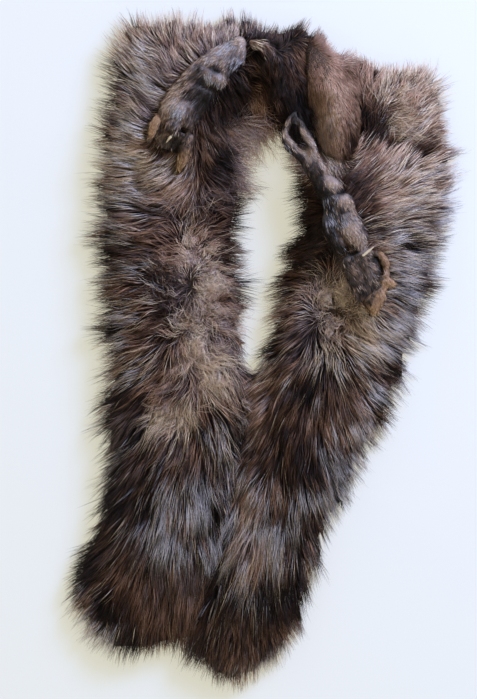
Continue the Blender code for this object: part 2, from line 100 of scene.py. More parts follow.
# Beside the left leg its tone is dark partly by painted shade, where the leg shadows the coat.
LEFT_NAP = [
    # x, y, heading, length, stand, tone, silver, cream, lock, curl, warm
    (-31, 308, 85, 17, 34, 70, 5, 34, 40, 10),
    (-69, 308, 92, 31, 34, 72, 6, 34, 40, 10),
    (-107, 306, 98, 28, 34, 74, 10, 36, 40, 10),
    (-131, 291, 125, 37, 32, 60, 20, 20, 50, 10),
    (-150, 250, 155, 35, 28, 3, 12, 8, 70, 0, -20),
    (-78, 284, 115, 28, 36, 68, 10, 34, 50, 30),
    (-107, 272, 145, 32, 34, 70, 25, 30, 50, 30),
    (-40, 240, -75, 30, 30, 12, 0, 2, 50, 20),
    (-107, 227, 155, 36, 34, 66, 30, 20, 70, 30, -20),
    (-150, 200, 168, 34, 26, 24, 34, 6, 70, 0, -20),
    (-121, 180, 166, 40, 32, 90, 36, 18, 70, 10),
    (-86, 180, 200, 36, 22, 90, 22, 22, 60, 10),
    (-154, 142, 178, 34, 24, 24, 32, 5, 80, 0, -20),
    (-110, 138, 172, 40, 32, 46, 30, 14, 70, 10),
    (-69, 155, 215, 32, 44, 95, 14, 12, 50, 30),
    (-48, 150, -30, 26, 36, 50, 4, 10, 40, 40),
    (-45, 190, -40, 30, 36, 4, 3, 3, 50, 30),
    (-42, 172, -30, 32, 34, 20, 1, 2, 30, 20, 20),
    (-26, 170, -15, 42, 30, 75, 2, 20, 30, 50),
    (-28, 198, -25, 44, 32, 100, 2, 30, 40, 60),
    (-91, 192, 250, 9, 10, 10, 0, 0, 20),
    (-114, 204, 158, 38, 34, 100, 34, 22, 70, 20, -10),
    (-107, 184, 165, 38, 32, 100, 28, 60, 70, 20),
    (-76, 186, 250, 18, 12, 80, 12, 16, 50, 20),
    (-16, 182, -12, 38, 28, 62, 2, 30, 40, 60),
    (-30, 127, 0, 34, 28, 10, 3, 3, 30, 10),
    (-64, 118, 90, 24, 58, 20, 10, 24, 50, 70),
    (-90, 116, 180, 32, 38, 50, 10, 5, 60, 20),
    (-40, 92, -6, 34, 32, 22, 5, 15, 40, 30),
    (-62, 88, 70, 20, 56, 92, 4, 45, 50, 90),
    (-86, 88, 165, 26, 44, 34, 8, 8, 60, 70, 10),
    (-145, 90, 182, 35, 24, 12, 26, 5, 80, 0, -20),
    (-105, 85, 180, 40, 34, 30, 18, 8, 70, 10),
    (-21, 58, -16, 36, 28, 22, 6, 10, 30, 20),
    (-48, 62, 10, 20, 50, 95, 4, 60, 50, 90),
    (-34, 48, -14, 30, 36, 42, 5, 10, 60, 50),
    (-52, 42, -40, 17, 66, 88, 5, 50, 50, 100),
    (-86, 60, 178, 26, 46, 5, 5, 6, 60, 80, 10),
    (-66, 24, 215, 17, 62, 66, 4, 50, 50, 100),
    (-86, 30, 196, 28, 46, 10, 5, 6, 60, 70, 10),
    (-108, 40, 192, 40, 36, 42, 22, 12, 70, 20),
    (-114, 8, 198, 40, 32, 55, 30, 10, 70, 10),
    (-145, 25, 192, 35, 24, 6, 20, 3, 80, 0, -20),
    (-36, 6, -35, 34, 36, 56, 14, 15, 70, 50),
    (-66, 3, -96, 24, 48, 100, 8, 50, 50, 80),
    (-48, -18, -68, 28, 38, 100, 4, 60, 50, 60),
    (-100, 0, 204, 40, 34, 30, 12, 10, 70, 20, 10),
    (-19, -15, -50, 38, 28, 60, 16, 22, 70, 20),
    (-83, -34, 228, 36, 36, 40, 6, 10, 70, 40, 20),
    (-118, -42, 214, 42, 30, 22, 28, 6, 70, 10, 10),
    (-150, -40, 204, 36, 24, 20, 30, 2, 80, 0, -20),
    (-28, -60, 296, 40, 28, 20, 24, 10, 70, 20),
    (-55, -62, 280, 38, 30, 8, 16, 10, 70, 30),
    (-87, -52, 252, 22, 38, 80, 5, 50, 50, 60),
    (-94, -60, 250, 22, 40, 100, 5, 70, 50, 60),
    (-80, -62, 255, 22, 40, 100, 5, 60, 50, 60),
    (-90, -100, 245, 36, 32, 34, 20, 6, 70, 20),
    (-112, -70, 230, 38, 28, 12, 14, 3, 70, 10),
    (-64, -84, 262, 40, 28, 44, 30, 4, 80),
    (-118, -88, 226, 42, 28, 20, 34, 6, 70, 10),
    (-147, -95, 214, 36, 24, 12, 20, 2, 80, 0, -20),
    (-36, -118, 284, 50, 22, 16, 32, 6, 80),
    (-72, -120, 266, 52, 22, 26, 50, 6, 80),
    (-107, -143, 248, 44, 26, 8, 26, 4, 80),
    (-86, -142, 262, 52, 22, 40, 50, 6, 80),
    (-104, -112, 236, 42, 28, 4, 3, 3, 80),
    (-146, -148, 228, 36, 24, 4, 3, 4, 80),
    (-40, -165, 280, 54, 20, 12, 44, 8, 80),
    (-92, -165, 260, 54, 22, 20, 50, 10, 80),
    (-130, -198, 246, 40, 26, 36, 8, 8, 30),
    (-150, -222, 232, 34, 26, 14, 4, 4, 30),
    (-98, -197, 262, 50, 26, 42, 4, 4, 40),
    (-160, -205, 208, 35, 24, 3, 2, 2, 30),
    (-174, -205, 196, 24, 24, 5, 2, 2, 30),
    (-180, -226, 208, 22, 24, 20, 14, 5, 30),
    (-60, -215, 270, 50, 26, 46, 8, 4, 40),
    (-97, -236, 266, 42, 28, 42, 5, 6, 30),
    (-172, -238, 225, 30, 26, 55, 36, 12, 20, 10, 20),
    (-162, -226, 240, 26, 28, 60, 40, 12, 20, 10),
    (-146, -243, 254, 30, 26, 10, 4, 0, 20),
    (-154, -262, 236, 33, 26, 70, 36, 10, 10, 10),
    (-126, -276, 262, 31, 24, 16, 8, 6, 20),
    (-88, -272, 272, 29, 24, 36, 8, 6, 20),
]


def merged_copy(name, *nodes):
    """A new object of these nodes' faces, with their loose corners merged."""
    mesh = bmesh.new()
    for node in nodes:
        mesh.from_mesh(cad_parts[node].data)
    bmesh.ops.remove_doubles(mesh, verts=mesh.verts, dist=1e-6)
    data = bpy.data.meshes.new(name)
    mesh.to_mesh(data)
    mesh.free()
    piece = bpy.data.objects.new(name, data)
    bpy.context.scene.collection.objects.link(piece)
    return piece


def apply_modifiers(piece):
    """Keep what the piece's modifiers make as its own plain mesh."""
    seen = piece.evaluated_get(bpy.context.evaluated_depsgraph_get())
    data = bpy.data.meshes.new_from_object(seen)
    piece.modifiers.clear()
    piece.data = data
    data.name = piece.name
    return piece


def even_surface(piece, grid, smoothing):
    """Remesh a piece to even faces and smooth out what is finer than they are."""
    remesh = piece.modifiers.new("Even", "REMESH")
    remesh.mode = "VOXEL"
    remesh.voxel_size = grid
    smooth = piece.modifiers.new("Smooth", "SMOOTH")
    smooth.factor = 0.5
    smooth.iterations = smoothing
    return apply_modifiers(piece)


def points_of(piece, what="co"):
    """The points of a piece, or their normals, as rows of a table."""
    source = piece.data.vertices if what == "co" else piece.data.vertex_normals
    values = np.zeros(len(source) * 3, np.float32)
    source.foreach_get("co" if what == "co" else "vector", values)
    return values.reshape(-1, 3).astype(float)


def move_points(piece, points):
    """Put the points of a piece at these places."""
    piece.data.vertices.foreach_set("co", points.astype(np.float32).ravel())
    piece.data.update()


def ease(low, high, values):
    """0 below low, 1 above high and a smooth way between."""
    share = np.clip((values - low) / (high - low), 0, 1)
    return share * share * (3 - 2 * share)


def tree_of(piece):
    """The faces of a piece, in the form that finds the nearest place on them."""
    return BVHTree.FromPolygons([v.co for v in piece.data.vertices],
                                [f.vertices for f in piece.data.polygons])


def write_values(piece, **values):
    """Store numbers or vectors on the points of a piece, each under its own name."""
    for name, value in values.items():
        kind, field = ("FLOAT_VECTOR", "vector") if value.ndim == 2 else ("FLOAT", "value")
        stored = piece.data.attributes.new(name, kind, "POINT")
        stored.data.foreach_set(field, value.astype(np.float32).ravel())


def rewrite(piece, name, values):
    """Change the numbers stored on the points of a piece under one name."""
    piece.data.attributes[name].data.foreach_set("value", values.astype(np.float32))


def value_of(piece, name):
    """The numbers stored on the points of a piece under one name."""
    values = np.zeros(len(piece.data.vertices), np.float32)
    piece.data.attributes[name].data.foreach_get("value", values)
    return values


def guide(x, y, heading, length, stand, *hundredths):
    """A row of a nap table, with its hundredths as shares."""
    return Nap(x, y, heading, length, stand, *(number / 100 for number in hundredths))


def comb(piece, guides, reach=7.0):
    """Give each point the nap, length and colour that the guides around it blend to.

    Nearer to a guide than reach, in millimetres, its pull hardly grows, so that guides blend softly.
    """
    rows = [guide(*row) for row in guides]
    points = points_of(piece)[:, :2] / MM
    places = np.array([(row.x, row.y) for row in rows], float)
    far = ((points[:, None, :] - places[None, :, :]) ** 2).sum(2)
    pull = 1 / (far + reach * reach) ** 2
    pull /= pull.sum(1)[:, None]
    turn = np.radians([row.heading for row in rows])
    nap = np.zeros((len(points), 3))
    nap[:, 0] = pull @ np.cos(turn)
    nap[:, 1] = pull @ np.sin(turn)
    nap /= np.maximum(np.linalg.norm(nap, axis=1), 1e-6)[:, None]
    values = {name: pull @ np.array([getattr(row, name) for row in rows])
              for name in ("length", "stand", "tone", "silver", "cream", "curl", "lock", "warm")}
    values["length"] *= MM
    values["stand"] = np.radians(values["stand"])
    write_values(piece, nap=nap, **values)
    values["nap"] = nap
    return values


# The legs press down the hair that they lie on, and the right pelt does so on the left one. These
# copies of them go once all the hair is grown.
LIMBS = ["throat_fold", "left_leg", "left_paw", "left_toe_outer", "left_toe_middle",
         "left_toe_inner", "left_claw", "right_leg", "right_leg_strap_outer",
         "right_leg_strap_inner", "right_paw", "right_toe_upper", "right_toe_middle",
         "right_toe_lower", "right_claw"]
LID = merged_copy("lid", *LIMBS)
LEFT_LID = merged_copy("left_lid", "right_pelt", *LIMBS)


def underwool(name, node, neighbours, guides, height):
    """The dense wool of a pelt: its solid without the locks, drawn in from the coat's edge."""
    piece = even_surface(merged_copy(name, node), WOOL_GRID, WOOL_SMOOTHING)
    values = comb(piece, guides)
    nap, length = values["nap"], values["length"]
    points = points_of(piece)
    normals = points_of(piece, "normal")
    facing = normals[:, 2]

    # Draw it in, less where the edge is dense, and not at the seams.
    trees = [tree_of(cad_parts[n]) for n in neighbours]
    near = np.array([min(t.find_nearest(Vector(p))[3] for t in trees) for p in points])
    free = ease(SEAM_WIDTH, SEAM_REACH, near)
    outward = np.clip((nap * normals)[:, :2].sum(1), 0, 1)
    inset = (WOOL_INSET + HAIR_PAST_WOOL * length * outward) * free
    for x, y, across, along, share in SNUG:
        inset *= 1 - share * np.exp(-((points[:, 0] / MM - x) / across) ** 2
                                    - ((points[:, 1] / MM - y) / along) ** 4)
    inset -= SEAM_LAP * (1 - free)
    rewrite(piece, "length", length * (1 - RIM_TRIM * outward * free))

    # Lower it to its height, and let it rise again to the legs that lie on it.
    legs = tree_of(LID)
    on_leg = np.array([legs.find_nearest(Vector(p))[0] for p in points])
    beside = np.linalg.norm(on_leg - points, axis=1)
    aside = np.linalg.norm((on_leg - points)[:, :2], axis=1)
    share = height + (LEG_BED - height) * np.exp(-(beside / LEG_BED_WIDTH) ** 2)
    points[:, :2] -= normals[:, :2] * inset[:, None]
    points[:, 2] = points[:, 2] * share + SKIN_THICKNESS + SKIN_GAP
    below = np.clip(on_leg[:, 2] - LEG_CLEAR - points[:, 2], 0, LEG_RISE)
    points[:, 2] += below * np.exp(-(aside / LEG_RISE_WIDTH) ** 2) * ease(0.3, 0.8, facing)
    points[(facing < UNDERSIDE) & (points[:, 2] > RAISED), 2] += SKIN_THICKNESS + SKIN_GAP
    move_points(piece, points)
    write_values(piece, cover=ease(*HAIR_FACING, facing) * ease(*HAIR_SEAM, near))
    return piece


class Wire:
    """An output of a node. Formulas on wires and numbers add the nodes that work them out."""

    def __init__(self, net, socket):
        self.net = net
        self.socket = socket

    def __getitem__(self, name):
        outputs = [s for s in self.socket.node.outputs if s.enabled]
        return Wire(self.net, next(s for s in outputs if s.name == name))

    def __add__(self, other):
        return self.net.formula("ADD", self, other)

    def __radd__(self, other):
        return self.net.formula("ADD", other, self)

    def __sub__(self, other):
        return self.net.formula("SUBTRACT", self, other)

    def __rsub__(self, other):
        return self.net.formula("SUBTRACT", other, self)

    def __mul__(self, other):
        return self.net.formula("MULTIPLY", self, other)

    def __rmul__(self, other):
        return self.net.formula("MULTIPLY", other, self)

    def __rtruediv__(self, other):
        return self.net.formula("DIVIDE", other, self)

    def __pow__(self, other):
        return self.net.formula("POWER", self, other)


class Net:
    """A node tree, filled by one method for every kind of node and by formulas on wires."""

    def __init__(self, tree):
        self.tree = tree

    def node(self, kind, settings=None, values=()):
        """Add a node, set it up, feed its inputs by name or order, and give its first output."""
        made = self.tree.nodes.new(kind)
        for name, value in (settings or {}).items():
            if name == "stops":
                self.set_stops(made.color_ramp, value)
            else:
                setattr(made, name, value)
        inputs = [s for s in made.inputs if s.enabled]
        named = values.items() if isinstance(values, dict) else enumerate(values)
        for key, value in named:
            socket = inputs[key] if isinstance(key, int) else next(s for s in inputs if s.name == key)
            self.feed(socket, value)
        outputs = [s for s in made.outputs if s.enabled]
        return Wire(self, outputs[0]) if outputs else made

    def feed(self, socket, value):
        """Link a wire to an input, or set the input to a value."""
        if isinstance(value, Wire):
            self.tree.links.new(value.socket, socket)
        elif socket.type == "RGBA":
            socket.default_value = (*value[:3], 1.0)
        elif socket.type == "VECTOR" and not isinstance(value, tuple):
            socket.default_value = (value, value, value)
        else:
            socket.default_value = value

    def set_stops(self, ramp, stops):
        """Give a colour ramp its stops, each a place and a colour."""
        while len(ramp.elements) < len(stops):
            ramp.elements.new(1.0)
        for element, (place, color) in zip(ramp.elements, stops):
            element.position = place
            element.color = (*color, 1.0)

    def formula(self, operation, a, b):
        """One step of arithmetic on numbers, tuples and wires."""
        vectors = [isinstance(x, tuple) or (isinstance(x, Wire) and x.socket.type == "VECTOR")
                   for x in (a, b)]
        if not any(vectors):
            return self.node("ShaderNodeMath", {"operation": operation}, (a, b))
        if operation == "MULTIPLY" and not all(vectors):
            vector, number = (a, b) if vectors[0] else (b, a)
            return self.node("ShaderNodeVectorMath", {"operation": "SCALE"},
                             {"Vector": vector, "Scale": number})
        return self.node("ShaderNodeVectorMath", {"operation": operation}, (a, b))

    def math(self, operation, *values):
        return self.node("ShaderNodeMath", {"operation": operation}, values)

    def clamp(self, value):
        """A number kept between 0 and 1."""
        return self.math("MINIMUM", self.math("MAXIMUM", value, 0.0), 1.0)

    def vector(self, operation, *values):
        return self.node("ShaderNodeVectorMath", {"operation": operation}, values)

    def join(self, x, y, z):
        """The vector with these parts."""
        return self.node("ShaderNodeCombineXYZ", {}, (x, y, z))

    def split(self, a):
        """The parts of a vector, by their names."""
        return self.node("ShaderNodeSeparateXYZ", {}, (a,))

    def dot(self, a, b):
        return self.vector("DOT_PRODUCT", a, b)["Value"]

    def unit(self, a):
        return self.vector("NORMALIZE", a)

    def across(self, a, up):
        """The part of a vector that lies square to a unit vector."""
        return a - up * self.dot(a, up)

    def noise(self, place, scale, detail):
        return self.node("ShaderNodeTexNoise", {},
                         {"Vector": place, "Scale": scale, "Detail": detail})["Fac"]

    def mix(self, factor, a, b):
        """A colour on the way from one to another."""
        return self.node("ShaderNodeMix", {"data_type": "RGBA"}, {"Factor": factor, "A": a, "B": b})

    def bump(self, strength, distance, height):
        return self.node("ShaderNodeBump", {},
                         {"Strength": strength, "Distance": distance, "Height": height})

    def random(self, low, high, seed, identity=None):
        """A number drawn for each point, or one for all that share an identity."""
        values = {"Min": low, "Max": high, "Seed": seed}
        if identity is not None:
            values["ID"] = identity
        return self.node("FunctionNodeRandomValue", {"data_type": "FLOAT"}, values)

    def attribute(self, name, kind="FLOAT"):
        return self.node("GeometryNodeInputNamedAttribute", {"data_type": kind}, {"Name": name})

    def store(self, geometry, name, value, kind=None, domain="POINT"):
        kind = kind or ("FLOAT_VECTOR" if value.socket.type == "VECTOR" else "FLOAT")
        return self.node("GeometryNodeStoreNamedAttribute", {"data_type": kind, "domain": domain},
                         {"Geometry": geometry, "Name": name, "Value": value})


# A hair's map is as wide as all the shades: the cool browns from dark to light, the warm browns, the
# silvers and the creams. Each stop is where the ramps have one of their colours.
COOL_START = 0.005
WARM_START = 0.33
BROWN_WIDTH = 0.29
SILVER_START = 0.67
SILVER_WIDTH = 0.12
CREAMS = (0.82, 0.95)
SHADE_STOPS = (0.0, 0.06, 0.13, 0.21, 0.30, 0.33, 0.39, 0.46, 0.54, 0.63, 0.67, 0.79, 0.82, 0.95)

# Hair is pressed down by what is found on the way up from below the table.
PRESS_START = -0.02
PRESS_REACH = 0.2
PRESS_GAP = 0.001             # between a pressed hair and what lies on it


def coat_sockets(tree):
    """Give the coat tree its output and its inputs, each with what it is unless it is set."""
    tree.interface.new_socket("Surface", in_out="INPUT", socket_type="NodeSocketGeometry")
    sizes = {"Spacing": 0.002, "Length": 1.0, "Tone": 0.0, "Silver": 1.0, "Thickness": 0.0005,
             "Lock Size": 0.013, "Lock Pull": 0.8, "Wisp Size": 0.005, "Wisp Pull": 0.5,
             "Lock Turn": 0.25, "Stray": 0.1, "Stand": 1.0, "Curl": 0.002, "Floor": 0.0012}
    for name, value in sizes.items():
        socket = tree.interface.new_socket(name, in_out="INPUT", socket_type="NodeSocketFloat")
        socket.default_value = value
    for name, value in {"Joints": 3, "Seed": 1}.items():
        socket = tree.interface.new_socket(name, in_out="INPUT", socket_type="NodeSocketInt")
        socket.default_value = value
    tree.interface.new_socket("Pressed By", in_out="INPUT", socket_type="NodeSocketObject")
    tree.interface.new_socket("Finish", in_out="INPUT", socket_type="NodeSocketMaterial")
    tree.interface.new_socket("Hair", in_out="OUTPUT", socket_type="NodeSocketGeometry")


def gather(net, given, size, shift, root, up):
    """The way from each hair to the nearest of some centres, and the number of that centre."""
    centres = net.node("GeometryNodeDistributePointsOnFaces", {"distribute_method": "POISSON"},
                       {"Mesh": given["Surface"], "Distance Min": size,
                        "Density Max": 6.0 / (size * size), "Seed": given["Seed"] + shift})
    nearest = net.node("GeometryNodeSampleNearest", {},
                       {"Geometry": centres, "Sample Position": root})
    centre = net.node("GeometryNodeSampleIndex", {"data_type": "FLOAT_VECTOR"},
                      {"Geometry": centres, "Value": net.node("GeometryNodeInputPosition"),
                       "Index": nearest})
    return net.across(centre - root, up), nearest


def shade_of(net, given, root, lock, wisp):
    """Where on the width of its map each hair is coloured.

    Most hairs take the coat's tone, the others the silver or the cream band. Silver comes in
    patches of painted sheen, and the tone changes from lock to lock and from wisp to wisp.
    """
    seed = given["Seed"]
    draw = (net.random(0.0, 0.5, seed + 10) + net.random(0.0, 0.3, seed + 11, wisp)
            + net.random(0.0, 0.2, seed + 23, lock))
    # Painted sheen: noise patches where many more hairs are silver, in place of the window's gleam on
    # the coat.
    painted_sheen = net.clamp(net.noise(root + (0.0, 5.0, 0.0), scale=38.0, detail=2.0) * 6.0 - 2.5)
    silver = net.attribute("silver") * given["Silver"] * (0.3 + 1.9 * painted_sheen)
    is_silver = net.math("LESS_THAN", draw, silver)
    is_cream = net.math("LESS_THAN", draw, silver + net.attribute("cream")) - is_silver
    is_warm = net.math("LESS_THAN", net.random(0.3, 0.7, seed + 12, wisp),
                       net.noise(root, scale=26.0, detail=1.0) + net.attribute("warm"))
    uneven = net.random(-0.10, 0.10, seed + 13, lock) + net.random(-0.33, 0.33, seed + 14, wisp)
    tone = net.clamp(net.attribute("tone") + given["Tone"]
                     + uneven * (0.15 + 1.1 * net.attribute("lock"))
                     + net.random(-0.06, 0.06, seed + 15))
    bright = net.math("MINIMUM", 0.02 + SILVER_WIDTH * tone + net.random(0.0, 0.05, seed + 16),
                      SILVER_WIDTH)
    brown = COOL_START + WARM_START * is_warm + BROWN_WIDTH * tone
    return (is_silver * (SILVER_START + bright) + is_cream * net.random(*CREAMS, seed + 17)
            + (1.0 - is_silver - is_cream) * brown)


def rooted_hairs(net, given):
    """Evenly spread roots, which carry all that their hairs are bent and coloured by."""
    seed, spacing = given["Seed"], given["Spacing"]
    hairs = net.node("GeometryNodeDistributePointsOnFaces", {"distribute_method": "POISSON"},
                     {"Mesh": given["Surface"], "Distance Min": spacing,
                      "Density Max": 3.0 / (spacing * spacing),
                      "Density Factor": net.attribute("cover"), "Seed": seed})
    root = net.node("GeometryNodeInputPosition")
    up = net.unit(hairs["Normal"] * 0.35 + (0.0, 0.0, 0.65))
    lie = net.unit(net.across(net.attribute("nap", "FLOAT_VECTOR"), up))
    to_lock, lock = gather(net, given, given["Lock Size"], 101, root, up)
    to_wisp, wisp = gather(net, given, given["Wisp Size"], 202, root, up)

    # A hair turns off the nap with the eddies of a curly place, its lock, its wisp and by itself.
    curl, into_locks = net.attribute("curl"), net.attribute("lock")
    eddy = net.noise(root + (3.0, 0.0, 0.0), scale=45.0, detail=1.0)
    turn = ((eddy - 0.5) * curl * 7.0
            + (given["Lock Turn"] + curl * curl * 1.1) * net.random(-1.0, 1.0, seed + 1, lock)
            + given["Lock Turn"] * 0.6 * net.random(-1.0, 1.0, seed + 2, wisp)
            + given["Stray"] * net.random(-1.0, 1.0, seed + 3) * (0.8 + curl))
    lie = net.node("ShaderNodeVectorRotate", {"rotation_type": "AXIS_ANGLE"},
                   {"Vector": lie, "Axis": up, "Angle": turn})
    length = (net.attribute("length") * given["Length"]
              * net.random(0.88, 1.12, seed + 4, lock) * net.random(0.88, 1.08, seed + 5, wisp)
              * net.random(0.78, 1.14, seed + 6))
    stand = (net.attribute("stand") * given["Stand"] * net.random(0.78, 1.22, seed + 7, lock)
             * net.random(0.8, 1.2, seed + 8, wisp) + net.random(-0.06, 0.06, seed + 9))
    for name, value in {
            "root": root, "up": up, "lie": lie,
            "to_lock": to_lock * (given["Lock Pull"] * into_locks),
            "to_wisp": to_wisp * (given["Wisp Pull"] * (0.25 + 0.9 * into_locks)),
            "reach": length, "rise": stand, "shade": shade_of(net, given, root, lock, wisp),
            "bow": net.random(-0.10, 0.10, seed + 18, wisp) + net.random(-0.06, 0.06, seed + 19),
            "phase": net.random(0.0, 6.28, seed + 20, wisp) + net.random(-0.7, 0.7, seed + 21),
            "curls": curl * given["Curl"],
            "girth": given["Thickness"] * net.random(0.65, 1.2, seed + 22)}.items():
        hairs = net.store(hairs, name, value)
    return hairs


def straight_hair(net, given):
    """One hair: a slim three-sided cone, whose height becomes the way along the hair."""
    cone = net.node("GeometryNodeMeshCone", {"fill_type": "NGON"},
                    {"Vertices": 3, "Side Segments": given["Joints"], "Fill Segments": 1,
                     "Radius Top": 0.0, "Radius Bottom": 1.0, "Depth": 1.0})
    place = net.split(net.node("GeometryNodeInputPosition"))
    ring = net.unit(net.join(place["X"], place["Y"], 0.0))
    cone = net.store(cone, "along", place["Z"])
    return net.store(cone, "ring", ring)


def bend(net, ring):
    """Where the surface of each hair goes.

    A hair rises at its root, lies down along the nap, runs into its wisp and then its lock, and
    winds about its own way where it is curly.
    """
    t = net.attribute("along")
    root, up, lie = (net.attribute(n, "FLOAT_VECTOR") for n in ("root", "up", "lie"))
    reach, rise = net.attribute("reach"), net.attribute("rise")
    side = net.vector("CROSS_PRODUCT", lie, up)
    end = rise * 0.1
    c0, s0 = net.math("COSINE", rise), net.math("SINE", rise)
    c1, s1 = net.math("COSINE", end), net.math("SINE", end)
    forward = c0 * t + (c1 - c0) * t * t * 0.5
    upward = s0 * t + (s1 - s0) * t * t * 0.5
    wave = t * 9.0 + net.attribute("phase")
    curls = net.attribute("curls") * net.math("SQRT", t)
    path = (root + lie * (reach * forward) + up * (reach * upward)
            + side * (reach * net.attribute("bow") * t * t)
            + net.attribute("to_lock", "FLOAT_VECTOR") * (t ** 1.5)
            + net.attribute("to_wisp", "FLOAT_VECTOR") * (t ** 0.8)
            + side * (curls * net.math("SINE", wave)) + up * (curls * net.math("COSINE", wave)))
    heading = net.unit(lie * (c0 + (c1 - c0) * t) + up * (s0 + (s1 - s0) * t))
    over = net.vector("CROSS_PRODUCT", side, heading)
    taper = net.attribute("girth") * (1.0 - t * t)
    return path + side * (ring["X"] * taper) + over * (ring["Y"] * taper)


def press(net, given, path, ring):
    """The same places, but off the table and under what lies on the coat."""
    spot = net.split(path)
    below = net.join(spot["X"], spot["Y"], PRESS_START)
    lid = net.node("GeometryNodeObjectInfo", {"transform_space": "ORIGINAL"},
                   {"Object": given["Pressed By"]})
    ray = net.node("GeometryNodeRaycast", {"data_type": "FLOAT"},
                   {"Target Geometry": lid["Geometry"], "Source Position": below,
                    "Ray Direction": (0.0, 0.0, 1.0), "Ray Length": PRESS_REACH})
    free = 1.0 - ray["Is Hit"]
    ceiling = net.split(ray["Hit Position"])["Z"] - PRESS_GAP + free
    height = net.math("MINIMUM", spot["Z"], ceiling)
    height = net.math("MAXIMUM", height, given["Floor"] + 0.0004 * ring["Y"])
    return net.join(spot["X"], spot["Y"], height)


def coat_tree():
    """Hair on a surface. Roots are spread evenly, combed along the nap and drawn into locks."""
    tree = bpy.data.node_groups.new("coat of hair", "GeometryNodeTree")
    coat_sockets(tree)
    net = Net(tree)
    given = net.node("NodeGroupInput")
    coat = net.node("GeometryNodeInstanceOnPoints", {},
                    {"Points": rooted_hairs(net, given), "Instance": straight_hair(net, given)})
    coat = net.node("GeometryNodeRealizeInstances", {}, (coat,))
    ring = net.split(net.attribute("ring", "FLOAT_VECTOR"))
    coat = net.node("GeometryNodeSetPosition", {},
                    {"Geometry": coat, "Position": press(net, given, bend(net, ring), ring)})

    # The map that the finish reads: its width holds the shades, its height runs root to tip.
    u = net.attribute("shade") + 0.0035 * ring["Y"]
    v = 0.02 + 0.96 * net.attribute("along") + 0.012 * ring["X"]
    coat = net.store(coat, "OFBake", net.join(u, v, 0.0), "FLOAT2", "CORNER")
    coat = net.node("GeometryNodeSetShadeSmooth", {}, {"Geometry": coat})
    coat = net.node("GeometryNodeSetMaterial", {}, {"Geometry": coat, "Material": given["Finish"]})
    net.node("NodeGroupOutput", {}, (coat,))
    return tree


COAT = coat_tree()
KEPT_ATTRIBUTES = ("OFBake", "position", "material_index", "sharp_face")


def grow(name, surface, finish, **sizes):
    """Grow hair on a surface with the coat tree, as a plain mesh of its own."""
    piece = bpy.data.objects.new(name, surface.data)
    bpy.context.scene.collection.objects.link(piece)
    tree = piece.modifiers.new("Coat", "NODES")
    tree.node_group = COAT
    sockets = {s.name: s.identifier for s in COAT.interface.items_tree if s.in_out == "INPUT"}
    tree[sockets["Finish"]] = finish
    for key, value in sizes.items():
        tree[sockets[key.replace("_", " ").title()]] = value
    apply_modifiers(piece)
    for stored in [a.name for a in piece.data.attributes]:
        if stored not in KEPT_ATTRIBUTES and not stored.startswith("."):
            piece.data.attributes.remove(piece.data.attributes[stored])
    return piece


def new_finish(name):
    """A new material, with the net of its nodes and its shader."""
    finish = bpy.data.materials.new(name)
    finish.use_nodes = True
    return finish, Net(finish.node_tree), finish.node_tree.nodes["Principled BSDF"]


def hair_finish(name, roots, middles, tips, roughness=0.5):
    """Hair whose shade comes from the width of its map and whose root and tip are darker, the root
    partly by painted shade deep in the coat.
    """
    finish, net, shader = new_finish(name)
    place = net.split(net.node("ShaderNodeUVMap", {"uv_map": "OFBake"}))
    shade, along = place["X"], place["Y"]

    def ramp(stops):
        return net.node("ShaderNodeValToRGB", {"stops": stops}, {"Fac": shade})

    def ease_along(low, high):
        return net.node("ShaderNodeMapRange", {"interpolation_type": "SMOOTHSTEP"},
                        {"Value": along, "From Min": low, "From Max": high})

    # Dark roots: partly the hair's own colour and partly painted shade deep in the coat.
    color = net.mix(ease_along(0.08, 0.5), ramp(roots), ramp(middles))
    color = net.mix(ease_along(0.62, 0.94), color, ramp(tips))
    fleck = net.node("ShaderNodeTexWhiteNoise", {"noise_dimensions": "1D"},
                     {"W": net.math("FLOOR", shade * 160.0)})
    color = net.node("ShaderNodeHueSaturation", {},
                     {"Hue": 0.5, "Saturation": 1.0, "Value": 0.78 + 0.44 * fleck, "Fac": 1.0,
                      "Color": color})
    net.feed(shader.inputs["Base Color"], color)
    net.feed(shader.inputs["Roughness"], roughness + 0.25 * (1.0 - along))
    shader.inputs["Specular IOR Level"].default_value = 0.25
    return finish


def tint(code):
    """The linear colour of a hex code such as 8a7568."""
    channels = [int(code[i:i + 2], 16) / 255 for i in (0, 2, 4)]
    return tuple(c / 12.92 if c <= 0.04045 else ((c + 0.055) / 1.055) ** 2.4 for c in channels)


def palette(cool, warm, silver, cream):
    """A ramp over the shades from hex codes: cool browns, warm browns, silvers and creams."""
    codes = " ".join((cool, warm, silver, cream)).split()
    return [(place, tint(code)) for place, code in zip(SHADE_STOPS, codes)]


# The silvers are partly the guard hair's own pale band and partly painted sheen, the cool gleam of
# the window on dark hair.
FUR = hair_finish(
    "guard_hair",
    palette("0a0808 120e0e 221a1a 403334 66555a", "0c0706 1b100d 35221c 573d35 785e4f",
            "1b181a 343135", "604a3f 876f62"),
    palette("151011 302627 6c5a59 b39b98 e8d2cd", "1a100e 3f2820 876552 c49c87 eccdb8",
            "868290 ece8f0", "dcc2a8 fbead4"),
    palette("0d0a0b 191314 392c2d 755f60 baa1a0", "120909 28160f 55382f 956d5d cfa796",
            "36333c 6c6874", "e0c8ae fbebd8"), roughness=0.42)


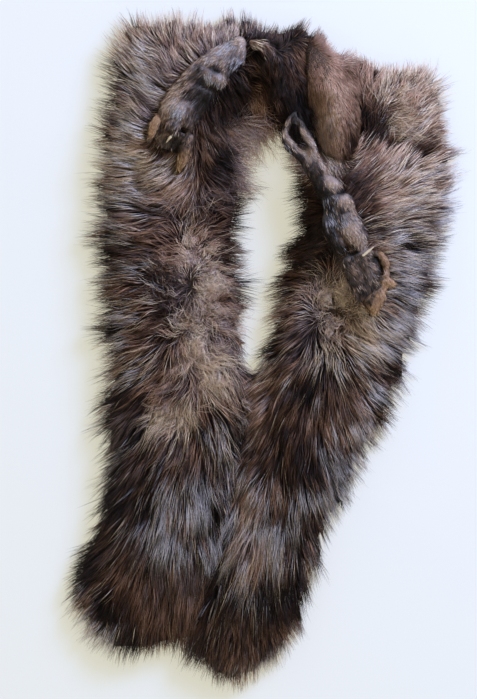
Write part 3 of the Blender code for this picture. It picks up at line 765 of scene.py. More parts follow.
def wool_finish():
    """Dense matted wool under the guard hair."""
    finish, net, shader = new_finish("underwool")
    tone = net.node("ShaderNodeAttribute", {"attribute_name": "tone"})["Fac"]
    fibre = net.noise(net.node("ShaderNodeTexCoord")["Object"], scale=420.0, detail=4.0)
    color = net.node("ShaderNodeValToRGB", {"stops": [
        (0.0, tint("120d0c")), (0.45, tint("2a201b")), (1.0, tint("8a7268"))]},
        {"Fac": tone * 0.8 + 0.4 * (fibre - 0.5)})
    net.feed(shader.inputs["Base Color"], color)
    net.feed(shader.inputs["Normal"], net.bump(strength=0.8, distance=0.002, height=fibre))
    shader.inputs["Roughness"].default_value = 0.9
    return finish


WOOL = wool_finish()


def leather_finish():
    """The pale flesh side of dressed skin, with a fine grain."""
    finish, net, shader = new_finish("dressed_skin")
    grain = net.noise(net.node("ShaderNodeTexCoord")["Object"], scale=300.0, detail=4.0)
    net.feed(shader.inputs["Base Color"], net.mix(grain, tint("a99478"), tint("cdbd9f")))
    net.feed(shader.inputs["Normal"], net.bump(strength=0.3, distance=0.0005, height=grain))
    shader.inputs["Roughness"].default_value = 0.8
    return finish


LEATHER = leather_finish()


def skin_under(name, wool):
    """The dressed skin that a pelt's wool stands on: a thin sheet below the whole of it."""
    sheet = bpy.data.objects.new(name, wool.data.copy())
    bpy.context.scene.collection.objects.link(sheet)
    mesh = bmesh.new()
    mesh.from_mesh(sheet.data)
    upper = [f for f in mesh.faces if f.normal.z > SKIN_SIDE]
    bmesh.ops.delete(mesh, geom=upper, context="FACES")
    edge = [v for v in mesh.verts if v.is_boundary]
    for _ in range(SKIN_EDGE_SMOOTHING):
        bmesh.ops.smooth_vert(mesh, verts=edge, factor=0.5, use_axis_x=True, use_axis_y=True)
    for vert in mesh.verts:
        vert.co.z -= SKIN_GAP
    mesh.to_mesh(sheet.data)
    mesh.free()
    sheet.data.materials.clear()
    sheet.data.materials.append(LEATHER)
    wall = sheet.modifiers.new("Wall", "SOLIDIFY")
    wall.thickness = SKIN_THICKNESS
    wall.offset = 1.0
    return apply_modifiers(sheet)


def seat(piece, slot, *nodes):
    """Fix a finished piece to the stole and hide the solids that it stands for; slot is not used."""
    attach(piece, "root")
    if nodes:
        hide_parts(*nodes)


def dress(side, node, guides, neighbours, slot, seed, lid, height=WOOL_HEIGHT,
          fine=0.00143, under=-0.34, finish=FUR):
    """The whole coat of one pelt in place of its solid: skin, underwool, down and guard hair.

    fine is how far apart its guard hairs stand, and under how much lighter its down is than they are:
    below zero it is darker, partly its own colour and partly painted shade between the locks.
    """
    wool = underwool(side + "_underwool", node, neighbours, guides, height)
    wool.data.materials.append(WOOL)
    skin = skin_under(side + "_skin", wool)
    wavy = ease(*FLEECE, value_of(wool, "curl"))
    tone = value_of(wool, "tone")
    rewrite(wool, "tone", tone + FLEECE_TONE * wavy)
    # The down takes the tone offset under: mostly darker, partly painted shade between the locks.
    fluff = grow(side + "_down", wool, finish, spacing=0.00130, length=0.62, thickness=0.00041,
                 lock_size=0.010, lock_pull=0.6, wisp_size=0.004, wisp_pull=0.5, stand=0.9,
                 joints=1, seed=seed, silver=0.0, tone=under, pressed_by=lid)
    rewrite(wool, "tone", tone)
    cover = value_of(wool, "cover")
    rewrite(wool, "cover", cover * (1 - FLEECE_SHARE * wavy))
    coat = grow(side + "_guard_hair", wool, finish, spacing=fine, thickness=0.00027, joints=2,
                lock_size=0.012, lock_pull=0.7, wisp_size=0.0036, wisp_pull=0.8,
                seed=seed + 1, curl=0.004, lock_turn=0.2, stray=0.13, pressed_by=lid)
    coats = [wool, fluff, coat]
    has_fleece = wavy.max() > 0.5
    if has_fleece:
        rewrite(wool, "cover", cover * wavy)
        coats.append(grow(side + "_curls", wool, finish, spacing=0.00115, length=0.9,
                          thickness=0.00027, lock_size=0.011, lock_pull=0.9, wisp_size=0.0045,
                          wisp_pull=0.5, stand=0.8, joints=5, seed=seed + 2, curl=0.0042,
                          lock_turn=0.6, stray=0.15, tone=0.12, pressed_by=lid))
    for piece in (skin, *coats):
        seat(piece, slot)
    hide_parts(node)


dress("left", "left_pelt", LEFT_NAP, ["right_pelt", "nape_pelt"], "guard_hair", seed=11,
      lid=LEFT_LID)

# ----------------------------------------------------------------------
# Right pelt. The second front pelt, from the thick roll at the shoulder down to the rounded
# right end, which lies over the left pelt. Its hair parts at a whorl below the paw.
# ----------------------------------------------------------------------
# Along its inner edge, beside the leg and the gap, its tone is dark partly by painted shade.
RIGHT_NAP = [
    # x, y, heading, length, stand, tone, silver, cream, lock, curl, warm
    (93, 175, 60, 30, 34, 50, 4, 12, 10, 10, 20),
    (116, 178, 52, 26, 34, 80, 5, 34, 20, 10, 20),
    (150, 170, 28, 28, 32, 74, 15, 34, 30, 10, 10),
    (176, 172, 18, 21, 28, 58, 28, 14, 70, 0, -10),
    (78, 142, 40, 28, 34, 22, 1, 1, 30, 10, 20),
    (112, 142, 22, 28, 32, 80, 10, 32, 30, 10, 20),
    (146, 138, 8, 32, 30, 50, 20, 32, 40, 10, 10),
    (180, 125, 0, 27, 24, 55, 44, 8, 70, 0, -10),
    (93, 108, 5, 36, 32, 30, 12, 24, 50, 10, 10),
    (131, 102, -4, 40, 30, 14, 28, 18, 70, 0, 10),
    (170, 90, -10, 32, 24, 20, 40, 6, 80, 0, -10),
    (80, 75, 20, 32, 34, 70, 12, 16, 50, 10),
    (131, 60, -16, 42, 28, 10, 28, 7, 70),
    (160, 52, -20, 30, 24, 22, 40, 3, 80, 0, -10),
    (116, 32, -26, 42, 28, 60, 30, 8, 70),
    (140, 10, -32, 30, 24, 18, 36, 3, 80, 0, -10),
    (88, 13, -38, 38, 32, 100, 28, 50, 70, 10),
    (116, -12, -42, 32, 26, 20, 42, 4, 80, 0, -10),
    (78, -14, -58, 42, 28, 36, 30, 12, 70),
    (112, -46, -46, 32, 24, 26, 45, 4, 80, 0, -10),
    (83, -48, -62, 44, 26, 70, 36, 8, 80),
    (60, 46, 110, 18, 62, 95, 8, 42, 40, 80),
    (76, 44, 100, 16, 62, 82, 5, 42, 50, 90),
    (66, 26, -80, 17, 58, 45, 8, 32, 50, 80),
    (92, 34, -20, 22, 46, 95, 14, 50, 50, 50),
    (60, 4, -90, 26, 44, 16, 14, 30, 50, 30),
    (45, 80, 185, 30, 34, 24, 5, 12, 30, 20),
    (55, -48, -88, 42, 28, 54, 30, 6, 70),
    (36, -1, 232, 36, 32, 50, 14, 8, 70, 10),
    (46, -22, 246, 38, 30, 2, 4, 4, 70),
    (26, -48, 245, 40, 28, 8, 8, 3, 70),
    (36, 32, 200, 32, 32, 55, 12, 20, 40, 10),
    (14, 12, 212, 34, 28, 5, 14, 14, 70),
    (4, -18, 222, 34, 28, 62, 14, 20, 70),
    (21, 61, 195, 32, 28, 24, 6, 8, 20, 10),
    (33, 108, 190, 30, 28, 10, 2, 0, 10, 10),
    (36, 151, 190, 36, 30, 6, 0, 0, 10, 10),
    (40, 188, 176, 36, 26, 60, 0, 0, 10, 10),
    (50, 199, 95, 18, 30, 50, 25, 0, 20, 10),
    (64, 182, -80, 15, 34, 100, 30, 40, 10, 30),
    (52, 122, 200, 28, 34, 10, 1, 1, 20, 10),
    (-2, -48, 235, 36, 28, 70, 8, 16, 70, 10),
    (-8, -90, 242, 38, 28, 46, 20, 4, 70),
    (30, -86, 264, 42, 28, 5, 8, 2, 70),
    (70, -91, 292, 48, 26, 30, 34, 3, 80),
    (95, -96, 310, 34, 24, 24, 38, 4, 80),
    (59, -124, 288, 40, 26, 22, 34, 4, 80),
    (78, -134, 302, 28, 24, 24, 36, 4, 80),
    (21, -134, 266, 52, 22, 20, 34, 4, 80),
    (-14, -134, 250, 42, 26, 65, 34, 6, 70),
    (-28, -172, 252, 50, 22, 32, 40, 8, 80),
    (18, -182, 268, 54, 20, 42, 30, 10, 80),
    (-4, -178, 260, 52, 20, 80, 50, 10, 80),
    (24, -206, 274, 48, 26, 3, 5, 2, 40),
    (52, -175, 288, 42, 24, 32, 26, 3, 80),
    (-31, -208, 256, 50, 26, 8, 20, 5, 50),
    (10, -225, 270, 46, 26, 10, 10, 3, 40),
    (36, -225, 282, 42, 24, 8, 14, 2, 40),
    (-45, -262, 255, 38, 26, 26, 8, 3, 30),
    (-12, -262, 270, 36, 26, 36, 8, 3, 30),
    (17, -262, 284, 30, 26, 34, 6, 3, 30),
    (34, -262, 300, 26, 24, 75, 30, 20, 20, 10, 20),
    (24, -278, 288, 28, 26, 55, 40, 16, 20, 10),
    (4, -276, 276, 30, 24, 30, 4, 0, 20),
    (12, -291, 280, 24, 24, 75, 34, 14, 20, 0, 10),
    (-20, -303, 262, 28, 24, 56, 20, 8, 20),
    (-48, -290, 256, 26, 24, 42, 6, 3, 20),
]
dress("right", "right_pelt", RIGHT_NAP, ["left_pelt", "nape_pelt", "shoulder_fold", "nape_fold"],
      "guard_hair", seed=31, lid=LID, fine=0.00136)

# ----------------------------------------------------------------------
# Nape and folds. The short dark stretch across the throat, the soft taupe fold that rolls over
# beside it, and the flecked beige fold that makes the upper right corner.
# ----------------------------------------------------------------------
# In the crease beside the fold and over the top of the gap its tone is dark partly by painted shade.
NAPE_NAP = [
    # x, y, heading, length, stand, tone, silver, cream, lock, curl, warm
    (-20, 308, 85, 16, 42, 55, 2, 28, 40, 10),
    (10, 308, 82, 20, 32, 20, 2, 20, 40, 10, 10),
    (34, 303, 74, 14, 24, 34, 1, 4, 40, 10, 10),
    (18, 294, 88, 15, 30, 20, 2, 4, 30, 10, 10),
    (28, 284, -84, 18, 26, 44, 2, 5, 30, 0, 10),
    (37, 280, -50, 16, 34, 44, 1, 4, 20, 0, 20),
    (24, 262, -84, 20, 26, 22, 1, 3, 30, 0, 10),
    (36, 260, -50, 17, 36, 32, 1, 3, 20, 0, 20),
    (38, 238, -72, 28, 34, 3, 0, 0, 30, 10),
    (22, 238, -84, 34, 26, 2, 0, 0, 40, 20),
    (6, 272, -64, 22, 24, 12, 0, 1, 40, 20, 10),
    (-10, 266, -35, 22, 26, 26, 1, 5, 30, 30, 10),
    (4, 252, -45, 22, 26, 26, 0, 2, 40, 30, 10),
    (-15, 242, -80, 24, 30, 80, 1, 10, 40, 40, 10),
    (2, 234, -100, 24, 30, 46, 1, 8, 40, 40, 10),
    (-16, 222, -35, 36, 34, 76, 2, 24, 40, 70),
    (26, 210, -78, 48, 24, 5, 0, 0, 40, 10),
    (2, 216, -84, 50, 30, 56, 2, 14, 40, 70),
    (15, 214, -75, 46, 26, 6, 0, 4, 40, 30),
    (38, 212, -84, 46, 22, 4, 0, 0, 40, 10),
]
# Its tone is partly the fold's own taupe and partly painted light and shade: the ridge of the roll is
# lighter and its flanks are dark.
NAPE_FOLD_NAP = [
    # x, y, heading, length, stand, tone, silver, cream, lock, curl, warm
    (36, 292, 66, 13, 18, 42, 1, 4, 20, 0, 20),
    (50, 294, 66, 13, 18, 48, 1, 10, 20, 0, 20),
    (66, 288, 58, 14, 18, 60, 2, 16, 20, 0, 20),
    (80, 277, 50, 17, 26, 58, 2, 20, 20, 0, 20),
    (42, 278, -66, 13, 16, 42, 1, 3, 10, 0, 30),
    (53, 275, -64, 11, 16, 74, 1, 14, 0, 0, 30),
    (68, 272, -58, 11, 16, 76, 1, 16, 0, 0, 30),
    (80, 264, -50, 13, 18, 42, 1, 6, 10, 0, 20),
    (46, 262, -68, 11, 16, 55, 1, 10, 0, 0, 30),
    (60, 256, -66, 11, 16, 100, 1, 30, 0, 0, 30),
    (74, 252, -62, 11, 16, 86, 1, 20, 0, 0, 30),
    (40, 246, -72, 13, 14, 6, 0, 0, 10, 0, 10),
    (50, 246, -70, 12, 14, 50, 1, 10, 0, 0, 30),
    (65, 240, -70, 11, 16, 100, 1, 35, 0, 0, 30),
    (76, 236, -66, 11, 16, 86, 1, 26, 0, 0, 30),
    (92, 240, -60, 12, 18, 14, 1, 2, 10, 0, 20),
    (46, 226, -72, 13, 14, 12, 0, 0, 10, 0, 10),
    (56, 226, -72, 12, 14, 90, 1, 24, 0, 0, 30),
    (68, 222, -72, 11, 16, 100, 1, 32, 0, 0, 30),
    (80, 218, -74, 11, 16, 62, 1, 20, 0, 0, 30),
    (92, 215, -66, 12, 18, 8, 1, 2, 10, 0, 20),
    (60, 208, -74, 13, 16, 78, 1, 20, 10, 0, 20),
    (70, 203, -76, 14, 16, 95, 2, 20, 10, 0, 20),
    (82, 198, -76, 14, 16, 20, 2, 12, 10, 0, 40),
    (90, 196, -70, 13, 18, 10, 1, 4, 10, 0, 20),
]
SHOULDER_NAP = [
    # x, y, heading, length, stand, tone, silver, cream, lock, curl, warm
    (95, 268, 88, 18, 34, 56, 4, 36, 40, 20, 20),
    (125, 266, 88, 20, 34, 72, 5, 42, 40, 30, 20),
    (152, 263, 75, 24, 34, 74, 5, 44, 40, 30, 20),
    (172, 252, 45, 30, 32, 68, 12, 36, 50, 20),
    (180, 222, 18, 20, 28, 54, 28, 20, 70, 10, -10),
    (182, 195, 10, 20, 26, 60, 34, 12, 70, 0, -10),
    (95, 245, 70, 24, 36, 80, 4, 16, 40, 40, 20),
    (125, 240, 50, 26, 38, 82, 6, 48, 40, 60, 20),
    (155, 232, 38, 28, 36, 68, 14, 42, 50, 50, 20),
    (90, 215, 60, 24, 36, 5, 3, 6, 40, 40, 20),
    (125, 210, 42, 28, 38, 56, 10, 46, 50, 60, 20),
    (155, 205, 30, 30, 34, 68, 20, 34, 50, 30, 20),
    (100, 188, 50, 26, 34, 6, 4, 8, 40, 20, 20),
    (140, 182, 35, 30, 32, 36, 14, 10, 50, 10, 20),
    (170, 178, 20, 27, 28, 66, 28, 16, 70),
]
FOLD = hair_finish(
    "fold_hair",
    palette("0e0b0b 1e1616 463634 7a6460 aa9490", "120c0a 2c1c17 694e43 a68475 cfaf9e",
            "343038 5c5862", "a08472 c4a894"),
    palette("151110 2e2424 6a5654 ac9692 dcc6c0", "1a100e 402821 8b6b5a c9a493 f0d3c3",
            "7e7a8c d6d0dc", "d0b2a0 ecd3c3"),
    palette("0f0c0c 221a1a 564443 978280 ccb6b0", "140c0a 32201a 78594b b79381 e3c4b4",
            "4a4650 8a8690", "d4b6a4 f0dccd"))
dress("nape", "nape_pelt", NAPE_NAP, ["left_pelt", "nape_fold", "right_pelt"], "nape_hair", seed=51,
      lid=LID)
dress("nape_fold", "nape_fold", NAPE_FOLD_NAP, ["nape_pelt", "shoulder_fold", "right_pelt"],
      "fold_hair", seed=61, lid=LID, height=0.9, fine=0.00110,
      under=-0.05, finish=FOLD)
dress("shoulder_fold", "shoulder_fold", SHOULDER_NAP, ["right_pelt", "nape_fold"], "flecked_hair",
      seed=71, lid=LID)

# ----------------------------------------------------------------------
# Throat fold. A small arched roll of leg skin, sewn in where the left leg meets the nape, with
# soft brown hair that runs over it.
# ----------------------------------------------------------------------
THROAT_NAP = [
    # x, y, heading, length, stand, tone, silver, cream, lock, curl, warm
    (-10, 292, -25, 10, 22, 90, 5, 50, 30, 10),
    (4, 288, -48, 12, 22, 52, 2, 20, 30, 10),
    (12, 274, -72, 16, 20, 30, 2, 4, 30),
    (16, 258, -88, 17, 20, 14, 0, 2, 30),
    (10, 244, -95, 17, 20, 12, 0, 0, 30),
]
LEG_WALL = 0.0015             # the dressed skin of a leg with its shortest hair
LEG_REACH = 2.5               # millimetres, because the guides of the legs stand closer
LEG_PAINTED_SHADE = 0.25              # painted shade: how light the sides and underside of a leg are, where its top is 1

# A swelling: millimetres from the middle of the stole, the way it runs in degrees from +X, its half
# length and half width, and how far it stands up or, below zero, creases in.
Swell = namedtuple("Swell", "x y heading length width rise")

LEG_HAIR = hair_finish(
    "leg_hair",
    palette("0f0d0d 1e1b1c 484040 7c7170 aa9f9e", "110d0b 291d17 55423b 856d61 b29887",
            "5c5c68 a3a2ae", "86705f b89f8c"),
    palette("141112 302a2c 70656a b6a8a8 ebdedd", "17110f 3a2a21 7e6456 b6988a e8cfbf",
            "8d8d9c dcdae4", "c4a590 efdccd"),
    palette("121011 282426 635a5d a29696 d8cccb", "15100e 34261e 725a4e a68a7c dac0b0",
            "86869a ccccd8", "b89983 e6d0bf"))


def skin_finish(name, dark, light, silver, cream, depth=1.0, grain=700.0, mottle=0.35):
    """Skin with its shortest hair, coloured by what the guides say of each place."""
    finish, net, shader = new_finish(name)
    grit = net.noise(net.node("ShaderNodeTexCoord")["Object"], scale=grain, detail=3.0)
    tone, pale, tan = (net.node("ShaderNodeAttribute", {"attribute_name": n})["Fac"]
                       for n in ("tone", "silver", "cream"))
    color = net.mix(tone * depth + mottle * (grit - 0.5), tint(dark), tint(light))
    color = net.mix(pale * depth * 0.8, color, tint(silver))
    color = net.mix(tan * depth * 0.6, color, tint(cream))
    net.feed(shader.inputs["Base Color"], color)
    net.feed(shader.inputs["Normal"], net.bump(strength=0.5, distance=0.0008, height=grit))
    shader.inputs["Roughness"].default_value = 0.62
    return finish


LEG_SKIN = skin_finish("leg_skin", "0d0a0a", "b4a29e", "8c8c9c", "bf9f8e", depth=0.55)
THROAT_SKIN = skin_finish("throat_skin", "0e0a08", "8a6a56", "7f8494", "9a7058")


def swell(piece, swells):
    """Raise and crease the upper side of a piece."""
    points = points_of(piece)
    normals = points_of(piece, "normal")
    shift = np.zeros(len(points))
    for s in (Swell(*row) for row in swells):
        turn = math.radians(s.heading)
        away = points[:, :2] / MM - (s.x, s.y)
        along = away[:, 0] * math.cos(turn) + away[:, 1] * math.sin(turn)
        across = away[:, 1] * math.cos(turn) - away[:, 0] * math.sin(turn)
        shift += s.rise * MM * np.exp(-(along / s.length) ** 2 - (across / s.width) ** 2)
    shift *= ease(-0.6, 0.3, normals[:, 2])
    move_points(piece, points + normals * shift[:, None])


def limb(name, nodes, guides, skin, finish, slot, seed, swells=(), grid=0.0020,
         smoothing=5, inset=0.0015, web=0.0, spacing=0.00100, thickness=0.00026, fuzz=1.0):
    """A hollow shell of short-haired skin on the form of some nodes, and the hair on it.

    web swells the nodes so that they join, before the shell is drawn in again by it and by inset.
    fuzz scales how long the hair is and how steeply it stands.
    """
    shell = even_surface(merged_copy(name + "_skin", *nodes), grid, smoothing)
    if web:
        move_points(shell, points_of(shell) + points_of(shell, "normal") * web)
        shell = even_surface(shell, grid, smoothing=3)
    move_points(shell, points_of(shell) - points_of(shell, "normal") * (inset + web))
    swell(shell, swells)
    values = comb(shell, guides, LEG_REACH)
    up = points_of(shell, "normal")[:, 2]
    write_values(shell, cover=ease(-0.5, -0.1, up))
    # Painted shade: tone, silver and cream fade on the sides and underside of each leg, as if turned
    # away from the lights.
    painted_shade = LEG_PAINTED_SHADE + (1 - LEG_PAINTED_SHADE) * ease(-0.1, 0.8, up)
    rewrite(shell, "tone", ease(0.0, 1.0, values["tone"]) * painted_shade)
    rewrite(shell, "silver", values["silver"] * painted_shade)
    rewrite(shell, "cream", values["cream"] * painted_shade)
    shell.data.materials.append(skin)
    hair = grow(name + "_hair", shell, finish, spacing=spacing, thickness=thickness, joints=2,
                length=fuzz, stand=1.5 * fuzz, lock_size=0.005, lock_pull=0.4, wisp_size=0.0028,
                wisp_pull=0.6, lock_turn=0.25, stray=0.2, curl=0.0, seed=seed)
    wall = shell.modifiers.new("Wall", "SOLIDIFY")
    wall.thickness = LEG_WALL
    wall.offset = -1.0
    apply_modifiers(shell)
    seat(shell, slot)
    seat(hair, slot)
    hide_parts(*nodes)


limb("throat_fold", ["throat_fold"], THROAT_NAP, THROAT_SKIN, FUR, "nape_hair", seed=81,
     spacing=0.0013, thickness=0.00034)

# ----------------------------------------------------------------------
# Left leg. A foreleg skin from its fuzzy knee at the throat to the paw: grey on top, tan along
# its outer edge, with a pale tuft and a crease half way down. Two bare toes and a claw.
# ----------------------------------------------------------------------
# Its tones hold painted light and shade as well as the leg's colours: the lavender highlight on the
# paw's dome, the dark crease under the pale tuft, and the darker lower side of the dome and the
# hollows between the toes.
LEFT_LEG_NAP = [
    # x, y, heading, length, stand, tone, silver, cream, lock, curl, warm
    (-14, 293, 200, 6, 28, 90, 5, 60, 70),
    (-22, 298, 208, 6, 22, 100, 5, 60, 70),
    (-38, 295, 215, 6, 20, 100, 8, 50, 70),
    (-52, 289, 220, 6, 20, 100, 15, 40, 70),
    (-30, 288, 225, 6, 16, 72, 42, 5, 70),
    (-42, 282, 225, 6, 16, 78, 40, 5, 70),
    (-26, 277, 235, 7, 20, 50, 38, 0, 70),
    (-38, 271, 230, 6, 16, 66, 42, 0, 70),
    (-50, 274, 225, 6, 16, 72, 30, 10, 70),
    (-62, 277, 222, 7, 18, 100, 10, 50, 70, 0, 30),
    (-28, 266, 240, 7, 22, 34, 30, 0, 70),
    (-45, 264, 225, 6, 14, 6, 0, 2, 70),
    (-58, 266, 222, 6, 14, 34, 0, 15, 70),
    (-73, 265, 222, 8, 18, 100, 8, 60, 70, 0, 40),
    (-66, 259, 222, 9, 16, 36, 0, 10, 70),
    (-50, 257, 285, 4, 30, 90, 60, 0, 70),
    (-39, 254, 295, 4, 28, 95, 70, 0, 70),
    (-58, 253, 230, 6, 12, 8, 2, 2, 20),
    (-47, 248, 235, 6, 12, 10, 2, 5, 20, 0, 30),
    (-68, 253, 220, 9, 16, 60, 5, 45, 70),
    (-84, 254, 222, 9, 18, 95, 2, 70, 70, 0, 50),
    (-76, 250, 222, 9, 16, 40, 0, 40, 70),
    (-95, 243, 232, 9, 18, 95, 0, 80, 70, 0, 50),
    (-100, 230, 250, 8, 18, 80, 0, 90, 70, 0, 60),
    (-82, 243, 225, 9, 16, 90, 0, 65, 70, 0, 50),
    (-70, 241, 225, 8, 14, 26, 3, 25, 40, 0, 30),
    (-58, 240, 235, 8, 14, 10, 0, 6, 20, 0, 40),
    (-47, 238, 240, 8, 14, 14, 0, 8, 20, 0, 40),
    (-40, 244, 245, 8, 16, 14, 0, 12, 30),
    (-90, 232, 240, 7, 14, 80, 15, 35, 70, 0, 40),
    (-80, 233, 240, 6, 14, 70, 40, 15, 70),
    (-78, 225, 240, 6, 14, 100, 80, 0, 70),
    (-69, 230, 240, 6, 14, 50, 60, 0, 70),
    (-62, 227, 240, 6, 14, 16, 5, 0, 20, 0, 40),
    (-92, 221, 245, 6, 14, 50, 10, 30, 70, 0, 40),
    (-84, 216, 245, 6, 14, 26, 10, 10, 70, 0, 40),
    (-66, 218, 245, 6, 14, 34, 25, 0, 70, 0, 30),
    (-88, 209, 245, 6, 14, 40, 5, 10, 70, 0, 50),
    (-76, 210, 250, 6, 14, 26, 10, 10, 70),
    (-96, 203, 240, 6, 14, 50, 5, 20, 70, 0, 30),
    (-90, 196, 240, 5, 14, 34, 5, 10, 70, 0, 50),
    (-82, 195, 250, 5, 12, 20, 0, 2, 10, 0, 50),
    (-99, 218, 240, 5, 12, 100, 0, 35, 70),
    (-97, 223, 240, 6, 16, 45, 0, 40, 70, 0, 50),
    (-95, 211, 240, 5, 12, 34, 0, 20, 70, 0, 20),
    (-103, 207, 238, 5, 12, 95, 0, 50, 70),
    (-108, 199, 235, 4, 12, 70, 0, 30, 70),
    (-70, 203, 262, 7, 14, 50, 30, 0, 70),
    (-72, 192, 262, 6, 14, 36, 20, 10, 70),
    (-80, 190, 262, 5, 12, 12, 0, 0, 10, 0, 40),
    (-76, 181, 262, 5, 12, 60, 0, 60, 70),
    (-71, 184, 262, 5, 12, 50, 10, 30, 70),
    (-80, 182, 262, 5, 12, 40, 0, 70, 70),
]
LEFT_LEG_SWELLS = [
    # x, y, heading, length, width, rise
    (-20, 293, 20, 9, 5, 3.5),
    (-42, 290, 30, 18, 4, 2.5),
    (-44, 256, -30, 12, 4, 3.0),
    (-54, 248, -25, 13, 3.0, -2.2),
    (-46, 264, -25, 14, 2.0, -2.6),
    (-80, 246, 28, 16, 1.8, -1.6),
    (-79, 226, 230, 10, 9, 3.0),
    (-95, 222, 240, 10, 5, 2.5),
    (-70, 210, 250, 8, 5, 2.5),
    (-86, 200, -40, 7, 4, -3.0),
    (-64, 262, 225, 12, 5, 1.0),
]
BARE_TOE = hair_finish(
    "bare_toe",
    palette("1c1310 2b1c16 4e3930 7c5d4a a07e66", "1c1310 2b1c16 4e3930 7c5d4a a07e66",
            "605c60 8a868c", "805c40 ac8a68"),
    palette("2a1d17 402e24 765c4a b08e76 e2c4a8", "2a1d17 402e24 765c4a b08e76 e2c4a8",
            "8a868c b6b2b8", "c09868 ecd2ac"),
    palette("241914 3a2a20 6c5242 a6846c d8b89c", "241914 3a2a20 6c5242 a6846c d8b89c",
            "868288 b0acb2", "b48a5e e4c8a0"))
TOE_SKIN = skin_finish("toe_skin", "1a110c", "b28d72", "948c96", "a87c50", depth=0.75, grain=260.0,
                       mottle=1.3)


def claw_finish():
    """Pale horn with a fine grain."""
    finish, net, shader = new_finish("claw_horn")
    grain = net.noise(net.node("ShaderNodeTexCoord")["Object"], scale=900.0, detail=2.0)
    net.feed(shader.inputs["Base Color"], net.mix(grain, tint("b09c78"), tint("d8cdb6")))
    shader.inputs["Roughness"].default_value = 0.3
    return finish


HORN = claw_finish()


def claw(node):
    """A claw with its facets smoothed away."""
    piece = even_surface(merged_copy(node + "_horn", node), grid=0.0005, smoothing=2)
    piece.data.materials.append(HORN)
    seat(piece, "claw", node)


limb("left_leg", ["left_leg", "left_paw", "left_toe_middle"], LEFT_LEG_NAP, LEG_SKIN, LEG_HAIR,
     "leg_hair", seed=91, swells=LEFT_LEG_SWELLS, fuzz=0.95)
limb("left_toes", ["left_toe_outer", "left_toe_inner"], LEFT_LEG_NAP, TOE_SKIN, BARE_TOE,
     "bare_toe", seed=93, grid=0.0014, smoothing=4, inset=0.0,
     web=0.0065, spacing=0.00105, fuzz=0.8)
claw("left_claw")

